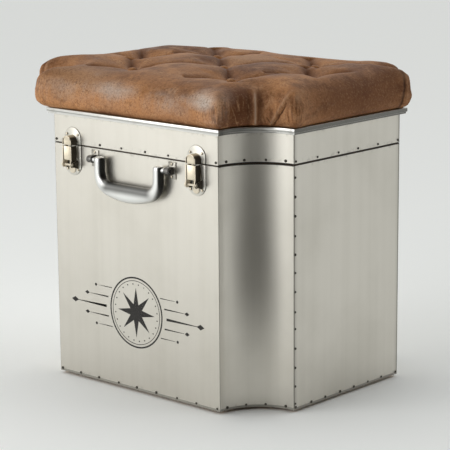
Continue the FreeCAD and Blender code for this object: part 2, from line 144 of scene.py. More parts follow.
class OttomanSeat(PropertyGroup):
    """Cushion, leather and buttons."""

    voxel: length("Voxel", "Mesh size of the cushion before it is blown up", 0.0055)
    pressure: FloatProperty(name="Pressure", description="Air pressure in the cushion", default=4.0, min=0.0)
    room: length("Room", "How far the crown is lowered before it fills", 0.010)
    slope: length("Slope", "How much lower the back of the crown starts", 0.008)
    swell: length("Swell", "Furthest that the leather may move as it fills", 0.011)
    horn: length("Horn", "How far the leather is pulled out at the points beside the scoops", 0.010)
    pleat: length("Pleat", "Depth of the pleats at the tufts", 0.006)
    valley: length("Valley", "Depth of the soft valleys between the tufts", 0.003)
    button_radius: length("Button radius", "Radius of a covered button", 0.008)
    button_height: length("Button height", "Height of a covered button", 0.005)
    # Dark leather on untouched patches, and also the colour of the painted shade in valleys, folds and scoops
    # and on the right side
    leather_deep_and_shade: colour("Deep brown", "Leather in creases and on untouched patches", (0.125, 0.048, 0.021))
    leather_mid: colour("Saddle brown", "Main tone of the leather", (0.445, 0.209, 0.084))
    # Leather rubbed pale, and also the colour of the painted highlight on ridges and wrinkles
    leather_worn_and_highlight: colour("Worn tan", "Leather rubbed pale", (0.505, 0.287, 0.152))
    # Paler, more orange tone of the upright sides than of the top
    leather_upright: colour("Taut tan", "Leather stretched over the sides", (0.650, 0.316, 0.143))
    # Grey wax bloom, and also the colour of the painted sheen on the front and on the ridges
    leather_bloom_and_sheen: colour("Bloom", "Grey wax bloom on the front", (0.47, 0.40, 0.345))


class OttomanOrnament(PropertyGroup):
    """Stencilled ornament on the front."""

    ink: colour("Ink", "Stencil ink", (0.022, 0.021, 0.020))
    film: length("Film", "Thickness of the ink", 0.00012)
    height: length("Height", "Height of the medallion's centre over the floor", 0.123)
    ring: length("Ring", "Outer radius of the medallion", 0.054)
    span: length("Span", "Half width of the whole ornament", 0.137)


class OttomanStage(PropertyGroup):
    """Camera, floor and lights."""

    azimuth: angle("Azimuth", "Camera to the right of the front", 0.7355)
    elevation: angle("Elevation", "Camera above the horizon", 0.211)
    roll: angle("Roll", "Camera turned about its own axis", -0.008)
    distance: length("Distance", "Camera to the point it looks at", 2.9216)
    look_height: length("Look height", "Height of the point the camera looks at", 0.2231)
    lens: FloatProperty(name="Lens", description="Focal length on a 36 mm sensor, in mm", default=151.7)
    key_power: FloatProperty(name="Key power", description="Power of the softbox", default=38.0, unit="POWER")
    floor_size: length("Floor size", "Side of the floor", 60.0)
    floor_tone: colour("Floor", "Pale floor", (0.96, 0.975, 0.965))
    cloth_tone: colour("Dark cloth", "Cloth on the floor in front of the camera", (0.020, 0.016, 0.010))
    cloth_start: length("Cloth distance", "Distance of the dark cloth from the ottoman", 0.62)
    cloth_width: length("Cloth width", "Size of the dark cloth across the view", 1.5)
    cloth_depth: length("Cloth depth", "Size of the dark cloth away from the ottoman", 2.2)
    cloth_side: length("Cloth side", "How far to the camera's right the dark cloth lies", 0.22)


# Shader arithmetic

def arithmetic(operation, turned=False):
    """A method that adds one Math node, its two values turned round for a reflected operator."""
    def method(self, other=0.0):
        values = [other, self] if turned else [self, other]
        return self.finish.node("ShaderNodeMath", {"operation": operation}, values)
    return method


class Value:
    """A shader socket that takes part in Python arithmetic."""

    def __init__(self, finish, socket):
        self.finish = finish
        self.socket = socket

    __add__ = arithmetic("ADD")
    __radd__ = arithmetic("ADD", turned=True)
    __sub__ = arithmetic("SUBTRACT")
    __rsub__ = arithmetic("SUBTRACT", turned=True)
    __mul__ = arithmetic("MULTIPLY")
    __rmul__ = arithmetic("MULTIPLY", turned=True)
    __pow__ = arithmetic("POWER")
    __abs__ = arithmetic("ABSOLUTE")
    most = arithmetic("MAXIMUM")

    def rise(self, low, high):
        """Smooth step from 0 at low to 1 at high."""
        return self.finish.node("ShaderNodeMapRange", {"interpolation_type": "SMOOTHSTEP"},
                                {"Value": self, "From Min": low, "From Max": high})

    def fall(self, low, high):
        """Smooth step from 1 at low to 0 at high."""
        return 1.0 - self.rise(low, high)


def strongest(masks):
    """The greatest of several masks at each point."""
    return functools.reduce(Value.most, masks)


class Finish:
    """A material around one Principled shader, with its constants set on the shader's own sockets."""

    def __init__(self, name, constants):
        self.material = self.start(bpy.data.materials.new(name), "Principled BSDF")
        self.set(constants)

    def start(self, block, shader):
        """Turn on a data block's nodes and find the shader in them."""
        block.use_nodes = True
        self.tree = block.node_tree
        self.shader = self.tree.nodes[shader]
        return block

    def feed(self, socket, value):
        if isinstance(value, Value):
            self.tree.links.new(value.socket, socket)
        elif socket.type == "RGBA":
            socket.default_value = (*value[:3], 1.0)
        else:
            socket.default_value = value

    def node(self, kind, settings=None, inputs=None, output=0):
        """Add a node: its settings first, then the values or links of its sockets."""
        made = self.tree.nodes.new(kind)
        for key, value in (settings or {}).items():
            setattr(made, key, value)
        pairs = inputs.items() if isinstance(inputs, dict) else enumerate(inputs or [])
        for key, value in pairs:
            self.feed(made.inputs[key], value)
        return Value(self, made.outputs[output])

    def set(self, sockets):
        for name, value in sockets.items():
            self.feed(self.shader.inputs[name], value)

    def vector(self, operation, *values, output=0):
        return self.node("ShaderNodeVectorMath", {"operation": operation}, values, output)

    def place(self, scale=(1.0, 1.0, 1.0), offset=(0.0, 0.0, 0.0)):
        where = self.node("ShaderNodeTexCoord", output="Object")
        return self.node("ShaderNodeMapping", {}, {"Vector": where, "Scale": scale, "Location": offset})

    def axis(self, number):
        where = self.node("ShaderNodeTexCoord", output="Object")
        return self.node("ShaderNodeSeparateXYZ", {}, [where], number)

    def facing(self, number):
        """How far the surface faces along one axis, from -1 to 1."""
        normal = self.node("ShaderNodeTexCoord", output="Normal")
        return self.node("ShaderNodeSeparateXYZ", {}, [normal], number)

    def noted(self, name):
        """A number that the mesh holds at each point."""
        return self.node("ShaderNodeAttribute", {"attribute_name": name}, output="Fac")

    def noise(self, scale, detail=2.0, roughness=0.5, stretch=(1.0, 1.0, 1.0), offset=(0.0, 0.0, 0.0)):
        return self.node("ShaderNodeTexNoise", {}, {
            "Vector": self.place(stretch, offset), "Scale": scale, "Detail": detail, "Roughness": roughness})

    def cells(self, scale, feature="F1"):
        return self.node("ShaderNodeTexVoronoi", {"feature": feature}, {
            "Vector": self.place(), "Scale": scale})

    def spot(self, centre, size):
        """Soft ellipsoid: 1 at its centre, 0 outside."""
        away = self.vector("SUBTRACT", self.place(), centre)
        share = self.vector("DIVIDE", away, size)
        return self.vector("LENGTH", share, output="Value").fall(0.2, 1.0)

    def cut(self, point, normal, width, reach):
        """Thin uneven line where a plane cuts the surface, within reach of a point on it."""
        away = self.vector("SUBTRACT", self.place(), point)
        off = self.vector("DOT_PRODUCT", away, normal, output="Value")
        off = off + (self.noise(130.0, 2.0) - 0.5) * 0.004
        far = self.vector("LENGTH", away, output="Value")
        return abs(off).fall(0.0, width) * far.fall(reach * 0.5, reach)

    def mix(self, factor, first, second):
        return self.node("ShaderNodeMix", {"data_type": "RGBA"}, {0: factor, 6: first, 7: second}, 2)

    def bump(self, height, strength, distance):
        self.set({"Normal": self.node("ShaderNodeBump", {}, {
            "Height": height, "Strength": strength, "Distance": distance})})


def scaled(tone, factor):
    """A colour made darker or paler."""
    return [factor * part for part in tone]


# Finishes

def sheet_metal(name, low, high, split):
    """Satin sheet with faint upright streaks, clouds and scuffs, grime and painted shade on it, and a painted
    shadow at the split.
    """
    metal = bpy.context.scene.ottoman_metal
    finish = Finish(name, {"Metallic": 1.0})
    streak = finish.noise(55.0, 3.0, 0.6, (1.0, 1.0, 0.02))
    cloud = finish.noise(7.0, 4.0, 0.55)
    scuff = finish.noise(310.0, 2.0, 0.6, (1.0, 1.0, 0.35)).rise(0.62, 0.78)
    dull = streak.rise(0.35, 0.75) * 0.22 + cloud.rise(0.42, 0.75) * 0.45
    on_side = (abs(finish.axis(0)) - half_width).rise(-0.0012, -0.0006)
    on_front = (abs(finish.axis(1)) - half_depth).rise(-0.0016, -0.0006)
    # Grime, with painted shade and shadow along the lower edges, the foot and the latch plates
    dirt_and_shade = sheet_dirt_and_shade(finish, low, high, on_side, on_front)
    # Painted shadow along the split, wider on the scoops and the short sides
    widened = (1.0 - on_front) * (0.0009 - on_side * 0.0005)
    shadow = (abs(finish.axis(2) - split) - widened).fall(0.0002, 0.0012)
    tone = finish.mix(dull, metal.sheet_pale, metal.sheet_shade)
    tone = finish.mix(dirt_and_shade, tone, metal.sheet_grime_and_shade)
    finish.set({
        "Base Color": finish.mix(shadow, tone, metal.split_shadow),
        "Roughness": 0.27 + cloud * 0.10 + streak * 0.06 + scuff * 0.05 + dirt_and_shade * 0.25,
    })
    finish.bump(finish.noise(4.5, 2.0, 0.5) + streak * 0.01, 0.5, 0.0012)
    return finish.material


def sheet_dirt_and_shade(finish, low, high, on_side, on_front):
    """Grime along the edges and laps of a sheet; grime and painted shadow along its lower edge and round the
    latch plates; painted shade along the foot of the case; a dark line along the folds into the scoops, and
    darker towards the ends of the side sheets.
    """
    radius = bpy.context.scene.ottoman_metal.scoop_radius
    height = finish.axis(2)
    past_flat = abs(finish.axis(1)) - (half_depth - radius)
    smudge = finish.noise(95.0, 4.0, 0.7).rise(0.48, 0.72)
    edge = (height - low).fall(0.0, 0.010).most((height - high).rise(-0.007, 0.0))
    # Grime and painted shadow along the lower edge: the bottom of the case and the split of the lid
    rolled_grime_and_shadow = abs(height - low).fall(0.0003, 0.0014)
    # Painted shade in a band along the foot of the case
    foot_shade = (height - case_low).fall(0.0030, 0.0040)
    lap = past_flat.rise(-0.0032, -0.0020) * on_side
    turn = past_flat.rise(-0.010, 0.0) * on_side
    crease = abs(abs(finish.axis(0)) - (half_width - radius)).fall(0.0003, 0.0012) * on_front
    # Grime and painted shadow round the latch plates
    plate = latch_outline(finish) * (finish.axis(1) - front_face).fall(0.0006, 0.0016)
    return strongest([
        edge * smudge * 0.55, rolled_grime_and_shadow * 0.85, foot_shade * 0.82, lap * 0.85, turn * 0.30, crease * 0.6,
        plate * (0.35 + smudge * 0.5),
    ])


def latch_outline(finish):
    """Thin dark line of grime and painted shadow on the sheet round the latch plates, as far as they overlap
    it.
    """
    low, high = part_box("latch_bases")[0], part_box("latch_keepers")[1]
    half = plate_width / 2
    height = finish.axis(2)
    above = (height - (high.z - half)).most((low.z + half) - height).most(0.0)
    aside = abs(finish.axis(0)) - latch_middle
    reach = (aside * aside + above * above) ** 0.5 - half
    return reach.fall(0.0002, 0.0016)


def rim_metal():
    """Bright moulding, rubbed along its edges, with painted shade in its step and on the short sides."""
    metal = bpy.context.scene.ottoman_metal
    finish = Finish("rim_metal", {"Metallic": 1.0})
    wear = finish.noise(38.0, 5.0, 0.65)
    # Painted shade on the short sides, which face left and right
    dull = abs(finish.facing(0)).rise(0.55, 0.95) * 0.9
    # Painted shadow line in the step
    step = abs(finish.axis(2) - rim_step).fall(0.0003, 0.0012)
    tone = finish.mix(wear.rise(0.52, 0.78) * 0.5, metal.rim_tone, metal.sheet_shade)
    finish.set({
        "Base Color": finish.mix(dull.most(step * 0.6), tone, scaled(metal.sheet_grime_and_shade, 0.40)),
        "Roughness": 0.24 + wear * 0.12 + dull * 0.10,
    })
    finish.bump(finish.noise(24.0, 2.0, 0.5), 0.08, 0.0006)
    return finish.material


def latch_metal():
    """Nickelled brass: rubbed faces, painted shade on the sides and a dark groove beside the lip, on paler
    plates.
    """
    metal = bpy.context.scene.ottoman_metal
    finish = Finish("latch_metal", {})
    inward = finish.axis(1) - front_face
    aside = abs(abs(finish.axis(0)) - latch_middle)
    below = finish.axis(2) - (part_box("latch_lever_left")[1].z - lever_plate)
    # Painted shade on the sides that face left and right
    shaded_sides = abs(finish.facing(0)).rise(0.45, 0.85)
    spots = finish.noise(520.0, 3.0, 0.6)
    plate = inward.rise(-0.0016, -0.0013)
    recess = aside.fall(0.0082, 0.0090) * below.fall(-0.0008, 0.0) * inward.fall(0.002, 0.004)
    groove = abs(aside - 0.0074).fall(0.0003, 0.0011) * (1.0 - plate)
    patina_and_shade = strongest([shaded_sides * 0.92, spots.rise(0.60, 0.80) * 0.35, groove * 0.85]) * (1.0 - recess * 0.9)
    tone = finish.mix(plate, metal.latch_tone, metal.plate_tone)
    finish.set({
        "Base Color": finish.mix(patina_and_shade, tone, metal.latch_dark),
        "Metallic": 1.0 - recess * 0.75,
        "Roughness": 0.36 + spots * 0.12 + shaded_sides * 0.15,
    })
    finish.bump(spots, 0.25, 0.0002)
    return finish.material


def handle_metal():
    """Polished casting with hairline scratches, with painted shade on the right of its legs and a painted
    dark reflection above the grip.
    """
    metal = bpy.context.scene.ottoman_metal
    finish = Finish("handle_metal", {"Metallic": 1.0})
    hairline = finish.noise(900.0, 2.0, 0.6, (0.08, 1.0, 1.0))
    cloud = finish.noise(30.0, 3.0)
    grip = abs(finish.axis(0)).fall(0.040, 0.056)
    # Painted shade on the right-facing sides and a painted dark reflection above the grip
    crown = (finish.axis(2) - handle_low).rise(0.0090, 0.0190) * grip
    shade_and_reflection = (finish.facing(0).rise(0.20, 0.80) * 0.97).most(crown * 0.85)
    tone = finish.mix(cloud.rise(0.5, 0.8) * 0.4, metal.handle_tone, metal.sheet_shade)
    finish.set({
        "Base Color": finish.mix(shade_and_reflection, tone, metal.handle_dark),
        "Roughness": 0.28 + hairline * 0.05 + cloud * 0.06 + shade_and_reflection * 0.06,
    })
    finish.bump(cloud, 0.2, 0.0006)
    return finish.material


def nail_metal():
    """Oxidised tack heads."""
    metal = bpy.context.scene.ottoman_metal
    finish = Finish("nail_metal", {"Metallic": 0.9})
    spots = finish.noise(800.0, 3.0, 0.7)
    finish.set({
        "Base Color": finish.mix(spots.rise(0.5, 0.75), metal.nail_tone, metal.sheet_grime_and_shade),
        "Roughness": 0.38 + spots * 0.25,
    })
    return finish.material


def plated_steel(name, tone, on_sheet=False):
    """Zinc plate with a fine crystalline cloud; a foot on the sheet metal is rubbed nearly as pale as it."""
    finish = Finish(name, {"Metallic": 1.0})
    spangle = finish.cells(260.0)
    zinc = finish.mix(spangle, tone, scaled(tone, 0.7))
    if on_sheet:
        foot = (finish.axis(1) - front_face).rise(-0.0024, -0.0016)
        rubbed = finish.noise(240.0, 3.0, 0.6).rise(0.35, 0.65)
        zinc = finish.mix(foot * (0.55 + rubbed * 0.35), zinc, bpy.context.scene.ottoman_metal.sheet_shade)
    finish.set({"Base Color": zinc, "Roughness": 0.32 + spangle * 0.12})
    finish.bump(finish.noise(700.0), 0.15, 0.0002)
    return finish.material


def plywood(name, through, along=(1.0, 1.0, 0.05), lying=False):
    """Birch ply: long grain on the faces, and on the sawn edge the layers that stack through it."""
    wood = bpy.context.scene.ottoman_carcass
    finish = Finish(name, {"Specular IOR Level": 0.35})
    stack = finish.node("ShaderNodeMath", {"operation": "PINGPONG"}, [through(finish), wood.ply_layer])
    layer = stack * (1.0 / wood.ply_layer)
    grain = finish.noise(22.0, 5.0, 0.65, along)
    fibre = finish.noise(160.0, 3.0, 0.6, along)
    face = finish.mix(grain.rise(0.3, 0.75), wood.ply_pale, wood.ply_grain)
    face = finish.mix(fibre.rise(0.5, 0.8) * 0.35, face, wood.ply_fibre)
    edge = finish.mix(layer.rise(0.3, 0.7), wood.ply_cross, wood.ply_long)
    sawn = abs(finish.facing(2)).rise(0.6, 0.9)
    if lying:
        sawn = 1.0 - sawn
    finish.set({
        "Base Color": finish.mix(sawn, face, edge),
        "Roughness": 0.55 + fibre * 0.2,
    })
    finish.bump(fibre + layer * sawn * 0.4, 0.25, 0.0004)
    return finish.material


def through_scoop(finish):
    """Distance from the upright axis of the nearest scooped corner."""
    across = abs(finish.axis(0)) - half_width
    along = abs(finish.axis(1)) - half_depth
    return (across * across + along * along) ** 0.5


def black_plastic():
    """Moulded glide with a fine spark-eroded texture."""
    carcass = bpy.context.scene.ottoman_carcass
    finish = Finish("glide_plastic", {})
    grain = finish.noise(1500.0, 2.0)
    finish.set({
        "Base Color": finish.mix(grain.rise(0.4, 0.7), carcass.glide_tone, carcass.glide_worn),
        "Roughness": 0.5 + grain * 0.2,
    })
    finish.bump(grain, 0.3, 0.0002)
    return finish.material


def on_seat(x, y, height):
    """A place given by its height over the seat's lower edge."""
    return (x, y, seat_low + height)


class Hide(Finish):
    """Waxed leather, coloured in coats of dye, wear, wax, painted shade and painted highlight: each is a mask
    and the tone that covers the coats under it.
    """

    def __init__(self, name):
        super().__init__(name, {"Specular IOR Level": 0.07})
        self.seat = bpy.context.scene.ottoman_seat
        self.mottle = self.noise(46.0, 5.0, 0.68, (1.0, 1.0, 1.6), (3.1, 0.4, 1.7))
        self.rub = self.noise(17.0, 6.0, 0.72, (1.0, 1.0, 2.2), (7.3, 2.9, 5.1))
        self.scratch = self.noise(120.0, 4.0, 0.7, (0.25, 0.25, 1.0), (1.3, 4.2, 0.6))
        self.gather = self.noise(150.0, 4.0, 0.62, (1.0, 1.0, 0.10), (4.8, 6.3, 1.9))
        self.crease = self.cells(210.0, "DISTANCE_TO_EDGE")
        self.above = self.axis(2) - seat_low
        self.inward = self.axis(1) + half_depth
        self.off_scoop = through_scoop(self) - bpy.context.scene.ottoman_metal.scoop_radius
        self.pocket = self.off_scoop.fall(-0.006, 0.016) * self.above.fall(0.034, 0.056)
        self.slit = strongest([
            self.cut(on_seat(0.226, -0.134, 0.018), (0.693, 0.470, -0.546), 0.0014, 0.027),
            self.cut(on_seat(0.212, -0.138, 0.006), (0.52, 0.62, 0.60), 0.0011, 0.013),
            self.cut(on_seat(half_width + 0.013, 0.115, 0.030), (0.0, 1.0, -0.2), 0.0046, 0.040),
        ])

    def coloured_and_shaded(self):
        """Lay the coats, then the gloss and the relief."""
        patch = self.noise(9.0, 5.0, 0.62).rise(0.30, 0.62)
        tone = self.mix(patch, self.seat.leather_deep_and_shade, self.seat.leather_mid)
        coats = (self.ground, self.shade, self.gathers, self.bloom_and_sheen, self.grain, self.shaded_sewing)
        for coat in coats:
            for mask, over in coat():
                tone = self.mix(mask, tone, over)
        self.set({
            "Base Color": tone,
            "Roughness": 0.40 + self.mottle * 0.18 - self.rub.rise(0.56, 0.72) * 0.08,
        })
        relief = self.crease.rise(0.0, 0.25) * 0.3 + self.cells(900.0) * 0.12 + self.mottle * 0.5
        self.bump(relief - self.slit * 2.5 + self.pocket * self.gather * 2.0, 0.30, 0.0006)
        return self.material

    def ground(self):
        """Paler, more orange upright sides, dark blotches, pale mottling, grey wax with painted sheen, and
        scratches.
        """
        seat = self.seat
        upright = abs(self.facing(2)).fall(0.15, 0.75)
        blotch = self.noise(21.0, 5.0, 0.66, (1.0, 1.0, 1.8), (5.7, 8.1, 2.2))
        return (
            (upright * 0.55, seat.leather_upright),
            (blotch.rise(0.50, 0.66) * 0.6, seat.leather_deep_and_shade),
            (self.mottle.rise(0.48, 0.72) * 0.6, seat.leather_worn_and_highlight),
            # Grey wax, with painted sheen, in random patches
            (self.rub.rise(0.58, 0.74) * 0.28, seat.leather_bloom_and_sheen),
            (self.scratch.rise(0.60, 0.75) * 0.3, seat.leather_worn_and_highlight),
        )

    def shade(self):
        """Painted shade on the right side, in the front right scoop and in the lee of the scoops, a dark
        front brow; rubbed and dusky places on the crown.
        """
        seat = self.seat
        flank = self.spot(on_seat(half_width + 0.012, 0.020, 0.030), (0.06, 0.24, 0.07)) * 0.82
        hollow = self.spot(on_seat(half_width - 0.056, 0.032 - half_depth, 0.035), (0.05, 0.05, 0.06)) * 0.9
        brow = self.above.rise(0.046, 0.058) * self.inward.fall(0.01, 0.06)
        brow = brow * (0.16 + self.mottle.rise(0.40, 0.58) * 0.64)
        behind = half_depth - abs(self.axis(1))
        lee = abs(self.facing(0)).rise(0.25, 0.60) * behind.fall(0.030, 0.055)
        lee = lee * self.off_scoop.fall(0.004, 0.026) * (self.above - behind * 0.7).fall(0.022, 0.038)
        rubbed = self.spot(on_seat(-0.122, -0.184, 0.046), (0.11, 0.06, 0.04))
        rubbed = rubbed.most(self.spot(on_seat(0.003, 0.056, 0.056), (0.06, 0.06, 0.03)))
        dusky = self.spot(on_seat(0.140, 0.020, 0.046), (0.075, 0.075, 0.035))
        return (
            # Painted shade on the right flank and in the front right scoop, and the dark brow
            (strongest([flank, hollow, brow]), seat.leather_deep_and_shade),
            # Painted shade in the lee of the scoops
            (lee * (0.55 + self.mottle * 0.4), seat.leather_deep_and_shade),
            (rubbed * (0.35 + self.mottle * 0.5), seat.leather_worn_and_highlight),
            (dusky * 0.34, seat.leather_deep_and_shade),
        )

    def gathers(self):
        """Painted shade and highlight on upright wrinkles in the scoops."""
        return (
            (self.pocket * self.gather.rise(0.50, 0.62) * 0.75, self.seat.leather_deep_and_shade),
            (self.pocket * (1.0 - self.gather).rise(0.54, 0.68) * 0.60, self.seat.leather_worn_and_highlight),
        )

    def bloom_and_sheen(self):
        """Grey wax dragged along the front, with a painted highlight in two patches on it."""
        wax_and_sheen = self.seat.leather_bloom_and_sheen
        thick = self.spot(on_seat(0.148, front_face, 0.039), (0.042, 0.05, 0.020))
        thick = thick.most(self.spot(on_seat(-0.034, front_face, 0.037), (0.062, 0.05, 0.017)) * 0.62)
        ahead = self.above.rise(0.004, 0.028) * self.above.fall(0.038, 0.052) * self.inward.fall(0.001, 0.010)
        drag = self.noise(60.0, 5.0, 0.7, (1.0, 1.0, 0.30), (2.6, 1.1, 4.4))
        thin = ahead * (drag.rise(0.38, 0.66) * 0.22 + self.rub.rise(0.45, 0.65) * 0.14)
        return (
            # Painted highlight in two patches on the front
            (thick * (0.45 + self.scratch.rise(0.30, 0.70) * 0.5), scaled(wax_and_sheen, 1.3)),
            (thin, wax_and_sheen),
        )

    def grain(self):
        """Fine creases and a crackle of dark and worn specks."""
        crackle = self.noise(300.0, 3.0, 0.7, offset=(8.4, 3.3, 6.6))
        dark = crackle.rise(0.50, 0.64) * (0.20 + self.mottle.rise(0.42, 0.60) * 0.35)
        return (
            (self.crease.fall(0.0, 0.12) * 0.25, self.seat.leather_deep_and_shade),
            (dark, self.seat.leather_deep_and_shade),
            ((1.0 - crackle).rise(0.52, 0.66) * 0.22, self.seat.leather_worn_and_highlight),
        )

    def shaded_sewing(self):
        """Painted shade in the valleys, folds and slits, a painted highlight on the ridges, and a pale worn
        crack.
        """
        seat = self.seat
        valley, fold, ridge = self.noted("valley"), self.noted("fold"), self.noted("ridge")
        crack = self.cut(on_seat(0.179, -0.176, 0.018), (0.75, 0.62, 0.24), 0.0009, 0.022)
        return (
            # Painted shade in the valleys
            (valley * (0.60 + self.mottle * 0.5), seat.leather_deep_and_shade),
            # Painted shade in the folds and slits
            (fold.most(self.slit) * 0.85, scaled(seat.leather_deep_and_shade, 0.35)),
            # Painted highlight on the ridges, and a pale worn crack
            ((ridge * 0.45).most(crack * 0.5), seat.leather_worn_and_highlight),
            # Painted sheen on the tops of the ridges
            ((ridge ** 4.0) * 0.5, seat.leather_bloom_and_sheen),
        )


def stencil_ink():
    """Matt ink that the metal shows through where it is worn."""
    ornament = bpy.context.scene.ottoman_ornament
    finish = Finish("stencil_ink", {"Specular IOR Level": 0.15})
    wear = finish.noise(330.0, 5.0, 0.72)
    patch = finish.noise(26.0, 3.0, 0.6)
    finish.set({
        "Base Color": finish.mix(wear, ornament.ink, scaled(ornament.ink, 3.0)),
        "Roughness": 0.6 + wear * 0.2,
        "Alpha": (wear * 0.75 + patch * 0.35).fall(0.62, 0.74),
    })
    return finish.material


# Curves that shape the leather and the casting

def ease(value, low, high):
    """Smooth step from 0 at low to 1 at high."""
    share = max(0.0, min(1.0, (value - low) / (high - low)))
    return share * share * (3.0 - 2.0 * share)


def between(value, low, full, fading, high):
    """1 between full and fading, easing to 0 at low and at high."""
    return ease(value, low, full) * (1.0 - ease(value, fading, high))


def bell(value, width):
    """Bell curve: 1 at 0, about a third at its width."""
    return math.exp(-(value / width) ** 2)


# Work at the bench

def take(piece):
    """Make one object the only selected and active one."""
    bpy.ops.object.select_all(action="DESELECT")
    piece.select_set(True)
    bpy.context.view_layer.objects.active = piece
    return piece


def made_piece(name):
    """The object that an operator has just added, under its own name, with its place in its mesh."""
    piece = bpy.context.object
    piece.name = piece.data.name = name
    bpy.ops.object.transform_apply(location=True, rotation=True, scale=True)
    return piece


def placed(name, data):
    """A new object in the scene around a mesh, a light or a camera."""
    piece = bpy.data.objects.new(name, data)
    bpy.context.scene.collection.objects.link(piece)
    return piece


def edit_all():
    bpy.ops.object.mode_set(mode="EDIT")
    bpy.ops.mesh.select_all(action="SELECT")


def end_edit():
    bpy.ops.object.mode_set(mode="OBJECT")


def pick(piece, wanted):
    """Go into edit mode with just the vertices selected that pass a test of their number."""
    take(piece)
    bpy.ops.object.mode_set(mode="EDIT")
    bpy.ops.mesh.select_all(action="DESELECT")
    end_edit()
    for number, vertex in enumerate(piece.data.vertices):
        vertex.select = wanted(number)
    bpy.ops.object.mode_set(mode="EDIT")


def modify(piece, kind, **values):
    """Add a modifier and apply it at once."""
    take(piece)
    modifier = piece.modifiers.new(kind.title(), kind)
    for key, value in values.items():
        setattr(modifier, key, value)
    bpy.ops.object.modifier_apply(modifier=modifier.name)


def joined(pieces, name):
    """Join objects into one."""
    bpy.ops.object.select_all(action="DESELECT")
    for piece in pieces:
        piece.select_set(True)
    bpy.context.view_layer.objects.active = pieces[0]
    if len(pieces) > 1:
        bpy.ops.object.join()
    return made_piece(name)


def copy_of_nodes(names, name):
    """A new object from CAD nodes, with the doubles of their loose triangles merged."""
    pieces = []
    for node in names:
        mesh = bpy.data.meshes.new_from_object(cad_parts[node])
        mesh.materials.clear()
        pieces.append(placed(node + ".copy", mesh))
    piece = joined(pieces, name)
    edit_all()
    bpy.ops.mesh.remove_doubles(threshold=1e-6)
    end_edit()
    return piece


def solids_of(node):
    """Lowest and highest corner of each separate solid of a CAD node, from left to right."""
    mesh = bmesh.new()
    mesh.from_mesh(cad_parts[node].data)
    bmesh.ops.remove_doubles(mesh, verts=mesh.verts, dist=1e-6)
    left = set(mesh.verts)
    boxes = []
    while left:
        reached = [left.pop()]
        for vertex in reached:
            for edge in vertex.link_edges:
                other = edge.other_vert(vertex)
                if other in left:
                    left.remove(other)
                    reached.append(other)
        places = [v.co for v in reached]
        boxes.append((Vector(map(min, *places)), Vector(map(max, *places))))
    mesh.free()
    return sorted(boxes, key=lambda box: (box[0].x, box[0].y))


def dress(piece, material, body, replaced=()):
    """Give a new piece its material and body, and hide the CAD nodes it stands for."""
    piece.data.materials.clear()
    piece.data.materials.append(material)
    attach(piece, body)
    if replaced:
        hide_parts(*replaced)


def paint_node(node, material):
    """Give a CAD node that stays in view its finished material."""
    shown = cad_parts[node]
    shown.data.materials.clear()
    shown.data.materials.append(material)


def rounded_copy(node, name, width):
    """Copy of a CAD node whose arrises are rounded over."""
    piece = copy_of_nodes([node], name)
    edit_all()
    bpy.ops.mesh.dissolve_limited(angle_limit=math.radians(1.0))
    end_edit()
    modify(piece, "BEVEL", width=width, segments=2, limit_method="ANGLE",
           angle_limit=math.radians(35.0), use_clamp_overlap=True)
    take(piece)
    bpy.ops.object.shade_smooth_by_angle(angle=math.radians(40.0))
    return piece


def repeated(pattern, spots, name):
    """One object with a copy of the pattern at each spot: a point, the way it faces, a turn and a size."""
    mesh = bmesh.new()
    for point, facing, turn, size in spots:
        copy = pattern.data.copy()
        stand = facing.to_track_quat("Z", "Y").to_matrix().to_4x4()
        turned = Matrix.Rotation(turn, 4, "Z") @ Matrix.Scale(size, 4)
        copy.transform(Matrix.Translation(point) @ stand @ turned)
        mesh.from_mesh(copy)
        bpy.data.meshes.remove(copy)
    data = bpy.data.meshes.new(name)
    mesh.to_mesh(data)
    mesh.free()
    bpy.data.objects.remove(pattern)
    piece = take(placed(name, data))
    bpy.ops.object.shade_smooth_by_angle(angle=math.radians(50.0))
    return piece


def dome(radius, height, sides):
    """Domed head, standing on z = 0: the upper half of a ball, flattened and closed underneath."""
    bpy.ops.object.select_all(action="DESELECT")
    bpy.ops.mesh.primitive_uv_sphere_add(segments=sides, ring_count=6, radius=radius)
    piece = made_piece("dome")
    edit_all()
    bpy.ops.mesh.bisect(plane_co=(0, 0, 0), plane_no=(0, 0, 1), clear_inner=True, use_fill=True)
    bpy.ops.mesh.select_all(action="SELECT")
    bpy.ops.transform.resize(value=(1, 1, height / radius))
    end_edit()
    return piece


def screw_head(radius, height):
    """Countersunk head with a slot across it."""
    bpy.ops.object.select_all(action="DESELECT")
    bpy.ops.mesh.primitive_cylinder_add(vertices=16, radius=radius, depth=height, location=(0, 0, height / 2))
    piece = made_piece("screw")
    modify(piece, "BEVEL", width=height * 0.4, segments=2, limit_method="ANGLE")
    groove = (radius * 3, radius * 0.22, height)
    bpy.ops.mesh.primitive_cube_add(size=1.0, location=(0, 0, height), scale=groove)
    slot = made_piece("slot")
    modify(piece, "BOOLEAN", operation="DIFFERENCE", object=slot, solver="EXACT")
    bpy.data.objects.remove(slot)
    return piece


